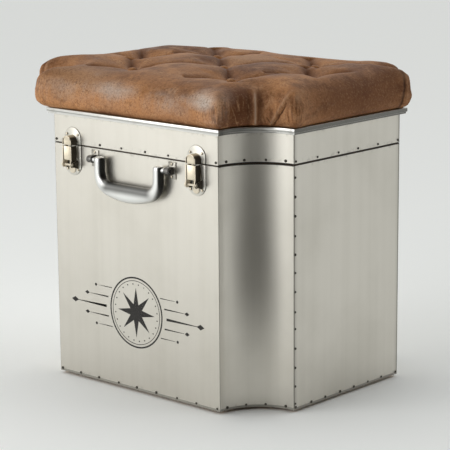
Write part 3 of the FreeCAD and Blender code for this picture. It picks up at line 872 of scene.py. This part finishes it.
class OTTOMAN_OT_clad(Operator):
    """Finish the sheet metal, the plywood behind it and the glides"""

    bl_idname = "ottoman.clad"
    bl_label = "Clad case and lid"

    def execute(self, context):
        case_sheet = sheet_metal("case_sheet", case_low, case_high, case_high)
        lid_sheet = sheet_metal("lid_sheet", lid_low, lid_high, lid_low)
        ply_depth = plywood("ply_front_back", lambda finish: finish.axis(1))
        ply_width = plywood("ply_sides", lambda finish: finish.axis(0))
        ply_scoop = plywood("ply_corners", through_scoop)
        ply_board = plywood("ply_boards", lambda finish: finish.axis(2), (0.05, 1.0, 1.0), lying=True)
        for wall, ply in zip(walls, (ply_depth, ply_depth, ply_width, ply_width)):
            paint_node(f"case_{wall}_cladding", case_sheet)
            paint_node(f"lid_{wall}_cladding", lid_sheet)
            paint_node(f"case_{wall}_panel", ply)
            paint_node(f"lid_{wall}_rail", ply)
        for corner in corners:
            paint_node(f"case_corner_{corner}", ply_scoop)
            paint_node(f"lid_corner_{corner}", ply_scoop)
        paint_node("base_panel", ply_board)
        paint_node("lid_board", ply_board)
        paint_node("foot_glides", black_plastic())
        return {"FINISHED"}


class OTTOMAN_OT_fit_hardware(Operator):
    """Round over the rim, latches, brackets, hinges and stay"""

    bl_idname = "ottoman.fit_hardware"
    bl_label = "Fit hardware"

    def execute(self, context):
        metal = context.scene.ottoman_metal
        rim = rounded_copy("rim_moulding", "rim", metal.rim_round)
        dress(rim, rim_metal(), "lid", ["rim_moulding"])
        brass_bodies = {
            "latch_keepers": "lid", "latch_bases": "case", "latch_pins": "case",
            "hinge_case_leaves": "case", "hinge_lid_leaves": "lid", "hinge_pins": "case",
            "latch_lever_left": "latch_left", "latch_lever_right": "latch_right",
        }
        stay_bodies = {
            "stay_case_bracket": "case", "stay_lid_bracket": "lid",
            "stay_lower_arm": "stay_lower", "stay_upper_arm": "stay_upper",
        }
        bracket_steel = plated_steel("bracket_steel", metal.bracket_tone, on_sheet=True)
        stay_steel = plated_steel("stay_steel", metal.stay_tone)
        fittings = (
            (latch_metal(), "nickelled_brass", brass_bodies),
            (bracket_steel, "nickelled_brass", {"handle_brackets": "case"}),
            (stay_steel, "stay_steel", stay_bodies),
        )
        for material, slot, bodies in fittings:
            for node, body in bodies.items():
                dress(rounded_copy(node, node + ".fitted", metal.round_over), material, body, [node])
        return {"FINISHED"}


# How often the casting is smoothed, and how far inside its trunnions the smoothing ends, in metres
handle_passes = 60
handle_fade = 0.003


class OTTOMAN_OT_cast_handle(Operator):
    """Melt the bevelled handle into one smooth casting"""

    bl_idname = "ottoman.cast_handle"
    bl_label = "Cast handle"

    def execute(self, context):
        metal = context.scene.ottoman_metal
        piece = copy_of_nodes(["carry_handle"], "handle_casting")
        modify(piece, "REMESH", mode="VOXEL", voxel_size=metal.handle_voxel)
        bow = piece.vertex_groups.new(name="bow")
        for vertex in piece.data.vertices:
            melted = 1.0 - ease(abs(vertex.co.x), metal.handle_reach - handle_fade, metal.handle_reach)
            bow.add([vertex.index], melted, "REPLACE")
        modify(piece, "SMOOTH", factor=0.5, iterations=handle_passes, vertex_group=bow.name)
        modify(piece, "DISPLACE", strength=metal.handle_swell, mid_level=0.0, vertex_group=bow.name)
        take(piece)
        bpy.ops.object.shade_smooth()
        dress(piece, handle_metal(), "handle", ["carry_handle"])
        return {"FINISHED"}


# Tacks on each long wall, each short wall and each scoop, and in each upright row
case_tacks = (9, 8, 4)
lid_tacks = (8, 6, 4)
seam_tacks = 13

# How far a tack is off its mark, in metres and in radians, and the shape of its head
tack_slip = 0.0015
tack_swing = 0.012
tack_flatness = 0.55
tack_sides = 10


def tack(point, facing, jitter):
    """A spot for one tack head, turned and sized a little unlike the others."""
    return point, facing, jitter.uniform(0, 3), jitter.uniform(0.85, 1.12)


def straight_row(start, end, count, facing, jitter):
    """Evenly spaced spots from start to end, each a little off its mark."""
    start, end = Vector(start), Vector(end)
    along = (end - start).normalized()
    spots = []
    for number in range(count):
        slip = along * jitter.uniform(-tack_slip, tack_slip)
        spots.append(tack(start.lerp(end, number / (count - 1)) + slip, Vector(facing), jitter))
    return spots


def scoop_row(sign_x, sign_y, height, count, jitter):
    """Spots round one scooped corner at one height."""
    radius = bpy.context.scene.ottoman_metal.scoop_radius
    centre = Vector((sign_x * half_width, sign_y * half_depth, height))
    spots = []
    for number in range(count):
        turn = math.radians(90) * (number + 0.5) / count + jitter.uniform(-tack_swing, tack_swing)
        facing = Vector((sign_x * math.cos(turn), sign_y * math.sin(turn), 0))
        spots.append(tack(centre - facing * radius, facing, jitter))
    return spots


def ring_of_rows(height, counts, jitter):
    """Rows right round the case at one height."""
    metal = bpy.context.scene.ottoman_metal
    end_x = half_width - metal.scoop_radius - metal.nail_margin
    end_y = half_depth - metal.scoop_radius - metal.nail_margin
    on_long, on_short, on_scoop = counts
    spots = []
    for sign in (-1, 1):
        x, y = sign * half_width, sign * half_depth
        spots += straight_row((-end_x, y, height), (end_x, y, height), on_long, (0, sign, 0), jitter)
        spots += straight_row((x, -end_y, height), (x, end_y, height), on_short, (sign, 0, 0), jitter)
    for sign_x, sign_y in corner_signs:
        spots += scoop_row(sign_x, sign_y, height, on_scoop, jitter)
    return spots


def seam_rows(low, high, jitter):
    """Upright rows at the lapped ends of the side sheets; at the back they sit round the corner."""
    metal = bpy.context.scene.ottoman_metal
    edge_y = half_depth - metal.scoop_radius
    spots = []
    for sign in (-1, 1):
        rows = (
            (sign * half_width, metal.nail_margin * 0.6 - edge_y, (sign, 0, 0)),
            (sign * (half_width - metal.nail_margin), edge_y, (0, 1, 0)),
        )
        for x, y, facing in rows:
            spots += straight_row((x, y, low), (x, y, high), seam_tacks, facing, jitter)
    return spots


class OTTOMAN_OT_drive_nails(Operator):
    """Drive the rows of tacks along the edges and seams of the sheets"""

    bl_idname = "ottoman.drive_nails"
    bl_label = "Drive nails"

    def execute(self, context):
        metal = context.scene.ottoman_metal
        jitter = random.Random(11)
        margin = metal.nail_margin
        foot_row = case_low + margin * 0.9
        seam_foot, seam_head = case_low + margin * 2, case_high - margin * 4
        case_spots = ring_of_rows(foot_row, case_tacks, jitter) + seam_rows(seam_foot, seam_head, jitter)
        lid_spots = ring_of_rows(lid_low + margin, lid_tacks, jitter)
        material = nail_metal()
        for body, spots in (("case", case_spots), ("lid", lid_spots)):
            pattern = dome(metal.nail_radius, metal.nail_radius * tack_flatness, tack_sides)
            dress(repeated(pattern, spots, body + "_nails"), material, body)
        return {"FINISHED"}


# Rivets and screws: radius and height of a head, and how far in from the ends of a plate they sit, in metres
rivet = (0.0021, 0.0013)
rivet_sides = 14
hinge_screw = (0.0032, 0.0008)
stay_screw = (0.003, 0.00035)
keeper_rivet_gap, keeper_rivet_inset = 0.0115, 0.0105
base_rivet_gap, base_rivet_inset = 0.0112, 0.0085
bracket_rivet_inset = 0.0035
stay_screw_inset = 0.005

# Hinge screws: shares of a leaf's width, and of its height on each body
hinge_screw_shares = (0.17, 0.5, 0.83)
hinge_screw_rises = {"case": 0.35, "lid": 0.65}


def rivets(middle, gaps, plate, heights):
    """Spots on a plate on the front, at gaps beside its middle and at heights."""
    outward = Vector((0, -1, 0))
    return [(Vector((middle + gap, front_face - plate, height)), outward, 0.0, 1.0)
            for gap in gaps for height in heights]


class OTTOMAN_OT_set_rivets(Operator):
    """Set rivets in the latch plates and brackets, and screws in the hinges and the stay"""

    bl_idname = "ottoman.set_rivets"
    bl_label = "Set rivets and screws"

    def execute(self, context):
        brass = bpy.data.materials["latch_metal"]
        lid_spots, case_spots = [], []
        for low, high in solids_of("latch_keepers"):
            lid_spots += rivets((low.x + high.x) / 2, (-keeper_rivet_gap, keeper_rivet_gap), latch_plate,
                                [high.z - keeper_rivet_inset])
        for low, high in solids_of("latch_bases"):
            case_spots += rivets((low.x + high.x) / 2, (-base_rivet_gap, base_rivet_gap), latch_plate,
                                 [low.z + base_rivet_inset])
        for low, high in solids_of("handle_brackets"):
            case_spots += rivets((low.x + high.x) / 2, [0.0], bracket_plate,
                                 (low.z + bracket_rivet_inset, high.z - bracket_rivet_inset))
        for name, spots, body in (("keeper_rivets", lid_spots, "lid"), ("case_rivets", case_spots, "case")):
            dress(repeated(dome(*rivet, rivet_sides), spots, name), brass, body)
        jitter = random.Random(5)
        self.screw_hinges(brass, jitter)
        self.screw_stay(bpy.data.materials["stay_steel"], jitter)
        return {"FINISHED"}

    def screw_hinges(self, brass, jitter):
        for body, rise in hinge_screw_rises.items():
            spots = []
            for low, high in solids_of(f"hinge_{body}_leaves"):
                height = low.z + (high.z - low.z) * rise
                for share in hinge_screw_shares:
                    point = Vector((low.x + (high.x - low.x) * share, half_depth + hinge_leaf, height))
                    spots.append((point, Vector((0, 1, 0)), jitter.uniform(0, 3), 1.0))
            screws = repeated(screw_head(*hinge_screw), spots, body + "_hinge_screws")
            dress(screws, brass, body)

    def screw_stay(self, steel, jitter):
        for body in ("case", "lid"):
            low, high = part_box(f"stay_{body}_bracket")
            spots = []
            for height in (low.z + stay_screw_inset, high.z - stay_screw_inset):
                point = Vector((high.x - stay_plate, (low.y + high.y) / 2, height))
                spots.append((point, Vector((-1, 0, 0)), jitter.uniform(0, 3), 1.0))
            screws = repeated(screw_head(*stay_screw), spots, body + "_stay_screws")
            dress(screws, steel, body)


# Where the leather is held and where its crown starts lower, in metres, with heights over the seat's edge
hem_free, hem_fade = 0.009, 0.006
tuft_free, tuft_fade, tuft_room = 0.013, 0.004, 0.02
crown_low, crown_high = 0.030, 0.062
slope_back = (-0.02, 0.17)
slope_right = (-0.14, -0.02)
crown_ends = (0.12, 0.21)
end_hold = 0.85
blow_frames = 20

# Pleats, valleys and the points beside the scoops, in metres
pleat_low = 0.035
pleat_length = 0.069
pleat_width, pleat_widening = 0.0045, 0.05
pleat_ways = [Vector((x, y)).normalized() for x in (-1, 1) for y in (-0.95, 0.95)]
pleat_edge = (-0.045, -0.010)
valley_width, valley_start = 0.010, 0.030
horn_width, lift_width = 0.021, 0.042
horn_heights = (-0.008, 0.012, 0.036, 0.064)
lift_heights = (0.022, 0.050)

# How plump each corner is and how far its points reach, in the order of the corner signs
corner_plumpness = (1.0, 0.35, 0.1, 0.75)
corner_reach = (1.6, 1.0, 1.0, 0.7)

# Gathers in a scoop: the middle, width and height of each, along the arc or along the slanting fold
upright_gathers = ((0.0, 0.0035, 0.0032), (-0.0095, 0.005, -0.0030), (0.0095, 0.005, -0.0030))
slanted_gathers = ((-0.006, 0.004, 0.0022), (0.0, 0.003, -0.0026), (0.006, 0.004, 0.0014))
slant_start, slant_lean = 0.028, 0.70
gather_depths = (-0.002, 0.028)
gather_heights = (0.0, 0.006, 0.040, 0.062)
gather_limit = 0.03
fold_full, ridge_full = 0.009, 0.003


def off_tuft(place, tuft):
    """Level distance from the middle of a tuft."""
    return math.hypot(place.x - tuft.x, place.y - tuft.y)


def pinned(place, tufts):
    """How firmly a point of the cushion is held: the sewn lower edge and the seats of the tufts."""
    hold = (seat_low + hem_free - place.z) / hem_fade
    if place.z > seat_low + crown_low:
        hold = max(hold, *((tuft_free - off_tuft(place, tuft)) / tuft_fade for tuft in tufts))
    return max(0.0, min(1.0, hold))


def make_room(piece, tufts, seat):
    """Lower the crown between the tufts before it swells: more at the back right, less at the ends."""
    for vertex in piece.data.vertices:
        place = vertex.co
        sewn = max(bell(off_tuft(place, tuft), tuft_room) for tuft in tufts)
        drop = seat.room + seat.slope * ease(place.y, *slope_back) * ease(place.x, *slope_right)
        drop *= 1.0 - end_hold * ease(abs(place.x), *crown_ends)
        place.z -= drop * ease(place.z, seat_low + crown_low, seat_low + crown_high) * (1.0 - sewn)


def blow_up(piece, tufts, seat):
    """Fill the cushion with air in a short cloth simulation, and keep each point within its swell."""
    group = piece.vertex_groups.new(name="held")
    for vertex in piece.data.vertices:
        hold = pinned(vertex.co, tufts)
        if hold > 0:
            group.add([vertex.index], hold, "REPLACE")
    start = [v.co.copy() for v in piece.data.vertices]
    take(piece)
    cloth = piece.modifiers.new("Cloth", "CLOTH")
    settings = {
        "quality": 5, "mass": 0.25, "vertex_group_mass": group.name,
        "tension_stiffness": 18, "compression_stiffness": 18, "shear_stiffness": 6, "bending_stiffness": 2.0,
        "use_pressure": True, "uniform_pressure_force": seat.pressure,
    }
    for key, value in settings.items():
        setattr(cloth.settings, key, value)
    cloth.settings.effector_weights.gravity = 0
    cloth.collision_settings.use_collision = False
    cloth.point_cache.frame_start = 1
    cloth.point_cache.frame_end = blow_frames
    for number in range(1, blow_frames + 1):
        bpy.context.scene.frame_set(number)
    bpy.ops.object.modifier_apply(modifier=cloth.name)
    bpy.context.scene.frame_set(1)
    for vertex, was in zip(piece.data.vertices, start):
        move = vertex.co - was
        if move.length > seat.swell:
            vertex.co = was + move * (seat.swell / move.length)


def horn_push(place, seat):
    """Pull the leather out to the points beside each scoop, and lift it there."""
    radius = bpy.context.scene.ottoman_metal.scoop_radius
    height = place.z - seat_low
    tall = between(height, *horn_heights)
    lifted = ease(height, *lift_heights)
    push = Vector()
    for (sign_x, sign_y), plump, out in zip(corner_signs, corner_plumpness, corner_reach):
        for x, y in ((half_width - radius, half_depth), (half_width, half_depth - radius)):
            reach = math.hypot(place.x - sign_x * x, place.y - sign_y * y)
            pull = seat.horn * out * bell(reach, horn_width * out) * tall
            push += Vector((sign_x, sign_y, 0)) * (pull * math.sqrt(0.5))
            push.z += seat.horn * plump * lifted * bell(reach, lift_width)
    return push


def pleat_depth(place, tufts):
    """Depth of the sewn pleats that run from each tuft along the diagonals, and of the valley they lie in."""
    crease = valley = 0.0
    if place.z < seat_low + pleat_low:
        return crease, valley
    inside = 1.0 - ease(max(abs(place.x) - half_width, abs(place.y) - half_depth), *pleat_edge)
    for tuft in tufts:
        away = Vector((place.x - tuft.x, place.y - tuft.y))
        for way in pleat_ways:
            along = away.dot(way)
            aside = math.sqrt(max(0.0, away.length_squared - along * along))
            if 0.0 < along < pleat_length:
                fade = 1.0 - along / pleat_length
                width = pleat_width + pleat_widening * along
                crease = max(crease, (0.25 + 0.75 * fade) * max(0.0, 1.0 - aside / width) ** 2)
                valley = max(valley, bell(aside, valley_width) * ease(along, 0.0, valley_start))
    return crease * inside, valley * inside


def scoop_fold(place):
    """Gathers in the scoops: which way is out of the hollow, and how far the leather stands out."""
    radius = bpy.context.scene.ottoman_metal.scoop_radius
    height = place.z - seat_low
    for sign_x, sign_y in corner_signs:
        away = Vector((place.x - sign_x * half_width, place.y - sign_y * half_depth, 0))
        reach = away.length - radius
        if reach < gather_limit:
            arc = (math.atan2(abs(away.y), abs(away.x)) - math.radians(45)) * radius
            lean = arc - slant_start - height * slant_lean
            stand = sum(rise * bell(arc - middle, width) for middle, width, rise in upright_gathers)
            stand += sum(rise * bell(lean - middle, width) for middle, width, rise in slanted_gathers)
            near = 1.0 - ease(reach, *gather_depths)
            return -away.normalized(), stand * near * between(height, *gather_heights)
    return Vector(), 0.0


def sew(piece, tufts, seat):
    """Pull the horns out, sew the pleats, gather the scoops, and note how deep in a fold each point is."""
    marks = {name: piece.data.attributes.new(name, "FLOAT", "POINT") for name in ("fold", "ridge", "valley")}
    for number, vertex in enumerate(piece.data.vertices):
        place = vertex.co.copy()
        crease, valley = pleat_depth(place, tufts)
        outward, stand = scoop_fold(place)
        sink = Vector((0, 0, seat.pleat * crease + seat.valley * valley))
        vertex.co = place + horn_push(place, seat) + outward * stand - sink
        # Fold and valley mark where the leather gets painted shade, ridge where it gets a painted highlight
        marks["fold"].data[number].value = max(0.0, min(1.0, max(crease ** 2, -stand / fold_full)))
        marks["ridge"].data[number].value = max(0.0, min(1.0, stand / ridge_full))
        marks["valley"].data[number].value = valley


class OTTOMAN_OT_stuff_cushion(Operator):
    """Make the tufted leather cushion and its covered buttons"""

    bl_idname = "ottoman.stuff_cushion"
    bl_label = "Stuff cushion"

    def execute(self, context):
        seat = context.scene.ottoman_seat
        tufts = [Vector((*((low + high) / 2).xy, low.z)) for low, high in solids_of("tuft_buttons")]
        piece = copy_of_nodes(["leather_cover", "seat_foam"], "cushion")
        modify(piece, "REMESH", mode="VOXEL", voxel_size=seat.voxel)
        modify(piece, "SMOOTH", factor=0.5, iterations=3)
        make_room(piece, tufts, seat)
        blow_up(piece, tufts, seat)
        modify(piece, "SUBSURF", levels=1, render_levels=1)
        sew(piece, tufts, seat)
        take(piece)
        bpy.ops.object.shade_smooth()
        leather = Hide("leather").coloured_and_shaded()
        dress(piece, leather, "lid", ["leather_cover", "seat_foam"])
        spots = [(tuft, Vector((0, 0, 1)), 0.0, 1.0) for tuft in tufts]
        buttons = repeated(dome(seat.button_radius, seat.button_height, 24), spots, "buttons")
        dress(buttons, leather, "lid", ["tuft_buttons"])
        return {"FINISHED"}


# Medallion: lines, dots and gap in metres, and shares of its outer ring for what lies inside it
ring_line, ring_hair = 0.0024, 0.0009
dot_radius, dot_count, dot_sides = 0.0011, 24, 16
wing_gap = 0.008
hair_share, dot_share = 0.90, 0.80
star_share, waist_share, star_points = 0.70, 0.24, 8

# Rows of a wing: lift; start, end, thick and thin end of its rule; place, sides and half sizes of its mark
wing_rows = (
    (0.000, (0.000, 0.012, 0.0040, 0.0008), (0.0075, 4, 0.0075, 0.0042)),
    (0.015, (0.004, 0.040, 0.0022, 0.0006), (0.034, 4, 0.0048, 0.0030)),
    (0.030, (0.012, 0.058, 0.0014, 0.0005), (0.053, dot_sides, 0.0022, 0.0022)),
)


def flat_ring(radius, width):
    """Flat ring."""
    bpy.ops.mesh.primitive_circle_add(vertices=96, radius=radius, fill_type="NOTHING")
    piece = made_piece("ring")
    edit_all()
    bpy.ops.mesh.extrude_edges_move()
    bpy.ops.transform.resize(value=[(radius - width) / radius] * 3)
    bpy.ops.mesh.select_all(action="SELECT")
    bpy.ops.mesh.normals_make_consistent(inside=False)
    end_edit()
    return piece


def flat_star(radius, waist, points):
    """Flat star: every other corner of a disc drawn in to the waist."""
    bpy.ops.mesh.primitive_circle_add(vertices=points * 2, radius=radius, fill_type="NGON")
    piece = made_piece("star")
    pick(piece, lambda number: number % 2 == 1)
    bpy.ops.transform.resize(value=[waist / radius] * 3)
    end_edit()
    return piece


def flat_mark(sides, half_length, half_height, x, y):
    """Flat lozenge or dot at one place."""
    bpy.ops.mesh.primitive_circle_add(vertices=sides, radius=1.0, fill_type="NGON", location=(x, y, 0))
    bpy.context.object.scale = (half_length, half_height, 1.0)
    return made_piece("mark")


def flat_rule(start, end, y, thick, thin):
    """Tapered rule along x, thick at its start."""
    bpy.ops.mesh.primitive_grid_add(x_subdivisions=8, y_subdivisions=1, size=1.0)
    piece = made_piece("rule")
    for vertex in piece.data.vertices:
        along = vertex.co.x + 0.5
        vertex.co.x = start + (end - start) * along
        vertex.co.y = y + vertex.co.y * (thick + (thin - thick) * along)
    return piece


class OTTOMAN_OT_stencil_front(Operator):
    """Stencil a generic star medallion with rules and lozenges on the front"""

    bl_idname = "ottoman.stencil_front"
    bl_label = "Stencil front"

    def execute(self, context):
        ornament = context.scene.ottoman_ornament
        ring = ornament.ring
        bpy.ops.object.select_all(action="DESELECT")
        marks = [
            flat_ring(ring, ring_line),
            flat_ring(ring * hair_share, ring_hair),
            flat_star(ring * star_share, ring * waist_share, star_points),
        ]
        for number in range(dot_count):
            turn = math.tau * (number + 0.5) / dot_count
            x, y = ring * dot_share * math.cos(turn), ring * dot_share * math.sin(turn)
            marks.append(flat_mark(dot_sides, dot_radius, dot_radius, x, y))
        for side in (-1, 1):
            marks += self.wing(side, ring + wing_gap, ornament.span)
        piece = joined(marks, "front_ornament")
        piece.data.transform(Matrix.Rotation(math.radians(90), 4, "X"))
        piece.data.transform(Matrix.Translation((0, front_face, ornament.height)))
        modify(piece, "SOLIDIFY", thickness=ornament.film, offset=1.0)
        dress(piece, stencil_ink(), "case")
        return {"FINISHED"}

    def wing(self, side, inner, outer):
        """Rules, lozenges and dots on one side of the medallion."""
        marks = []
        for lift, (early, short, thick, thin), (back, *shape) in wing_rows:
            for y in sorted({-lift, lift}):
                marks.append(flat_rule(side * (inner - early), side * (outer - short), y, thick, thin))
                marks.append(flat_mark(*shape, side * (outer - back), y))
        return marks


# Stage: the ways that the room is darkest and brightest, its tones, and the softbox
dark_way = (0.62, -0.70, 0.35)
bright_way = (-0.76, -0.62, 0.05)
room_low = (0.71, 0.715, 0.705)
room_high = (1.10, 1.11, 1.10)
room_bright = (0.86, 0.845, 0.80)
room_dark = (0.016, 0.012, 0.007)
key_place = Vector((-1.0, -2.8, 1.2))
key_aim = Vector((0, 0, 0.25))
key_width, key_height = 2.8, 2.0
cloth_lift = 0.001


class Sky(Finish):
    """The world's nodes, made with the same arithmetic as a finish."""

    def __init__(self, name):
        self.world = self.start(bpy.data.worlds.new(name), "Background")


def studio_world():
    """Soft room light, brightest to the left of the front and dark on the camera's own side."""
    sky = Sky("studio")
    way = sky.node("ShaderNodeTexCoord", output="Generated")
    dark = sky.vector("DOT_PRODUCT", way, dark_way, output="Value").rise(0.33, 0.75)
    bright = sky.vector("DOT_PRODUCT", way, bright_way, output="Value").rise(-0.1, 0.95)
    height = sky.node("ShaderNodeSeparateXYZ", {}, [way], 2)
    room = sky.mix(height.rise(0.15, 0.75), room_low, room_high)
    tone = sky.mix(bright * (1.0 - height.rise(0.12, 0.55) * 0.8), room, room_bright)
    sky.set({"Color": sky.mix(dark, tone, room_dark)})
    return sky.world


class OTTOMAN_OT_set_stage(Operator):
    """Set the floor, the lights and the camera"""

    bl_idname = "ottoman.set_stage"
    bl_label = "Set stage"

    def execute(self, context):
        stage = context.scene.ottoman_stage
        context.scene.view_settings.view_transform = "Standard"
        context.scene.world = studio_world()
        self.floor(stage)
        self.dark_cloth(stage)
        self.softbox(stage)
        context.scene.camera = self.camera(stage)
        return {"FINISHED"}

    def floor(self, stage):
        bpy.ops.object.select_all(action="DESELECT")
        bpy.ops.mesh.primitive_plane_add(size=stage.floor_size)
        floor = made_piece("floor")
        paint = Finish("floor", {"Base Color": stage.floor_tone, "Specular IOR Level": 0.0})
        floor.data.materials.append(paint.material)

    def dark_cloth(self, stage):
        """Dark cloth on the floor below the camera, seen only in the metal."""
        bpy.ops.object.select_all(action="DESELECT")
        bpy.ops.mesh.primitive_plane_add(size=1.0)
        bpy.context.object.scale = (stage.cloth_width, stage.cloth_depth, 1.0)
        cloth = made_piece("dark_card")
        ahead = -stage.cloth_start - stage.cloth_depth / 2
        cloth.data.transform(Matrix.Translation((stage.cloth_side, ahead, cloth_lift)))
        cloth.data.transform(Matrix.Rotation(stage.azimuth, 4, "Z"))
        weave = Finish("dark_cloth", {"Base Color": stage.cloth_tone, "Roughness": 0.9})
        cloth.data.materials.append(weave.material)
        cloth.visible_camera = cloth.visible_diffuse = cloth.visible_shadow = False

    def softbox(self, stage):
        light = bpy.data.lights.new("key", "AREA")
        light.shape = "RECTANGLE"
        light.size = key_width
        light.size_y = key_height
        light.energy = stage.key_power
        lamp = placed("key", light)
        lamp.location = key_place
        lamp.rotation_euler = (key_aim - key_place).to_track_quat("-Z", "Y").to_euler()

    def camera(self, stage):
        lens = bpy.data.cameras.new("camera")
        lens.sensor_width = 36.0
        lens.lens = stage.lens
        lens.clip_end = 100.0
        camera = placed("camera", lens)
        level = math.cos(stage.elevation)
        back = Vector((math.sin(stage.azimuth) * level, -math.cos(stage.azimuth) * level,
                       math.sin(stage.elevation)))
        camera.location = Vector((0, 0, stage.look_height)) + back * stage.distance
        turned = (-back).to_track_quat("-Z", "Y").to_matrix().to_4x4() @ Matrix.Rotation(stage.roll, 4, "Z")
        camera.rotation_euler = turned.to_euler()
        return camera


steps = (
    OTTOMAN_OT_clad,
    OTTOMAN_OT_fit_hardware,
    OTTOMAN_OT_cast_handle,
    OTTOMAN_OT_drive_nails,
    OTTOMAN_OT_set_rivets,
    OTTOMAN_OT_stuff_cushion,
    OTTOMAN_OT_stencil_front,
    OTTOMAN_OT_set_stage,
)
groups = {
    "ottoman_metal": OttomanMetal,
    "ottoman_carcass": OttomanCarcass,
    "ottoman_seat": OttomanSeat,
    "ottoman_ornament": OttomanOrnament,
    "ottoman_stage": OttomanStage,
}


class OTTOMAN_PT_workshop(Panel):
    """The steps that dress the ottoman, with their sizes and colours"""

    bl_idname = "OTTOMAN_PT_workshop"
    bl_label = "Trunk ottoman"
    bl_space_type = "VIEW_3D"
    bl_region_type = "UI"
    bl_category = "Ottoman"

    def draw(self, context):
        for step in steps:
            self.layout.operator(step.bl_idname)
        for name, group in groups.items():
            box = self.layout.box()
            for value in group.__annotations__:
                box.prop(getattr(context.scene, name), value)


def register():
    for name, group in groups.items():
        bpy.utils.register_class(group)
        setattr(bpy.types.Scene, name, PointerProperty(type=group))
    for step in steps:
        bpy.utils.register_class(step)
    bpy.utils.register_class(OTTOMAN_PT_workshop)


def unregister():
    bpy.utils.unregister_class(OTTOMAN_PT_workshop)
    for step in reversed(steps):
        bpy.utils.unregister_class(step)
    for name, group in groups.items():
        delattr(bpy.types.Scene, name)
        bpy.utils.unregister_class(group)


def main():
    register()
    for step in steps:
        family, name = step.bl_idname.split(".")
        getattr(getattr(bpy.ops, family), name)()


if __name__ == "__main__":
    main()
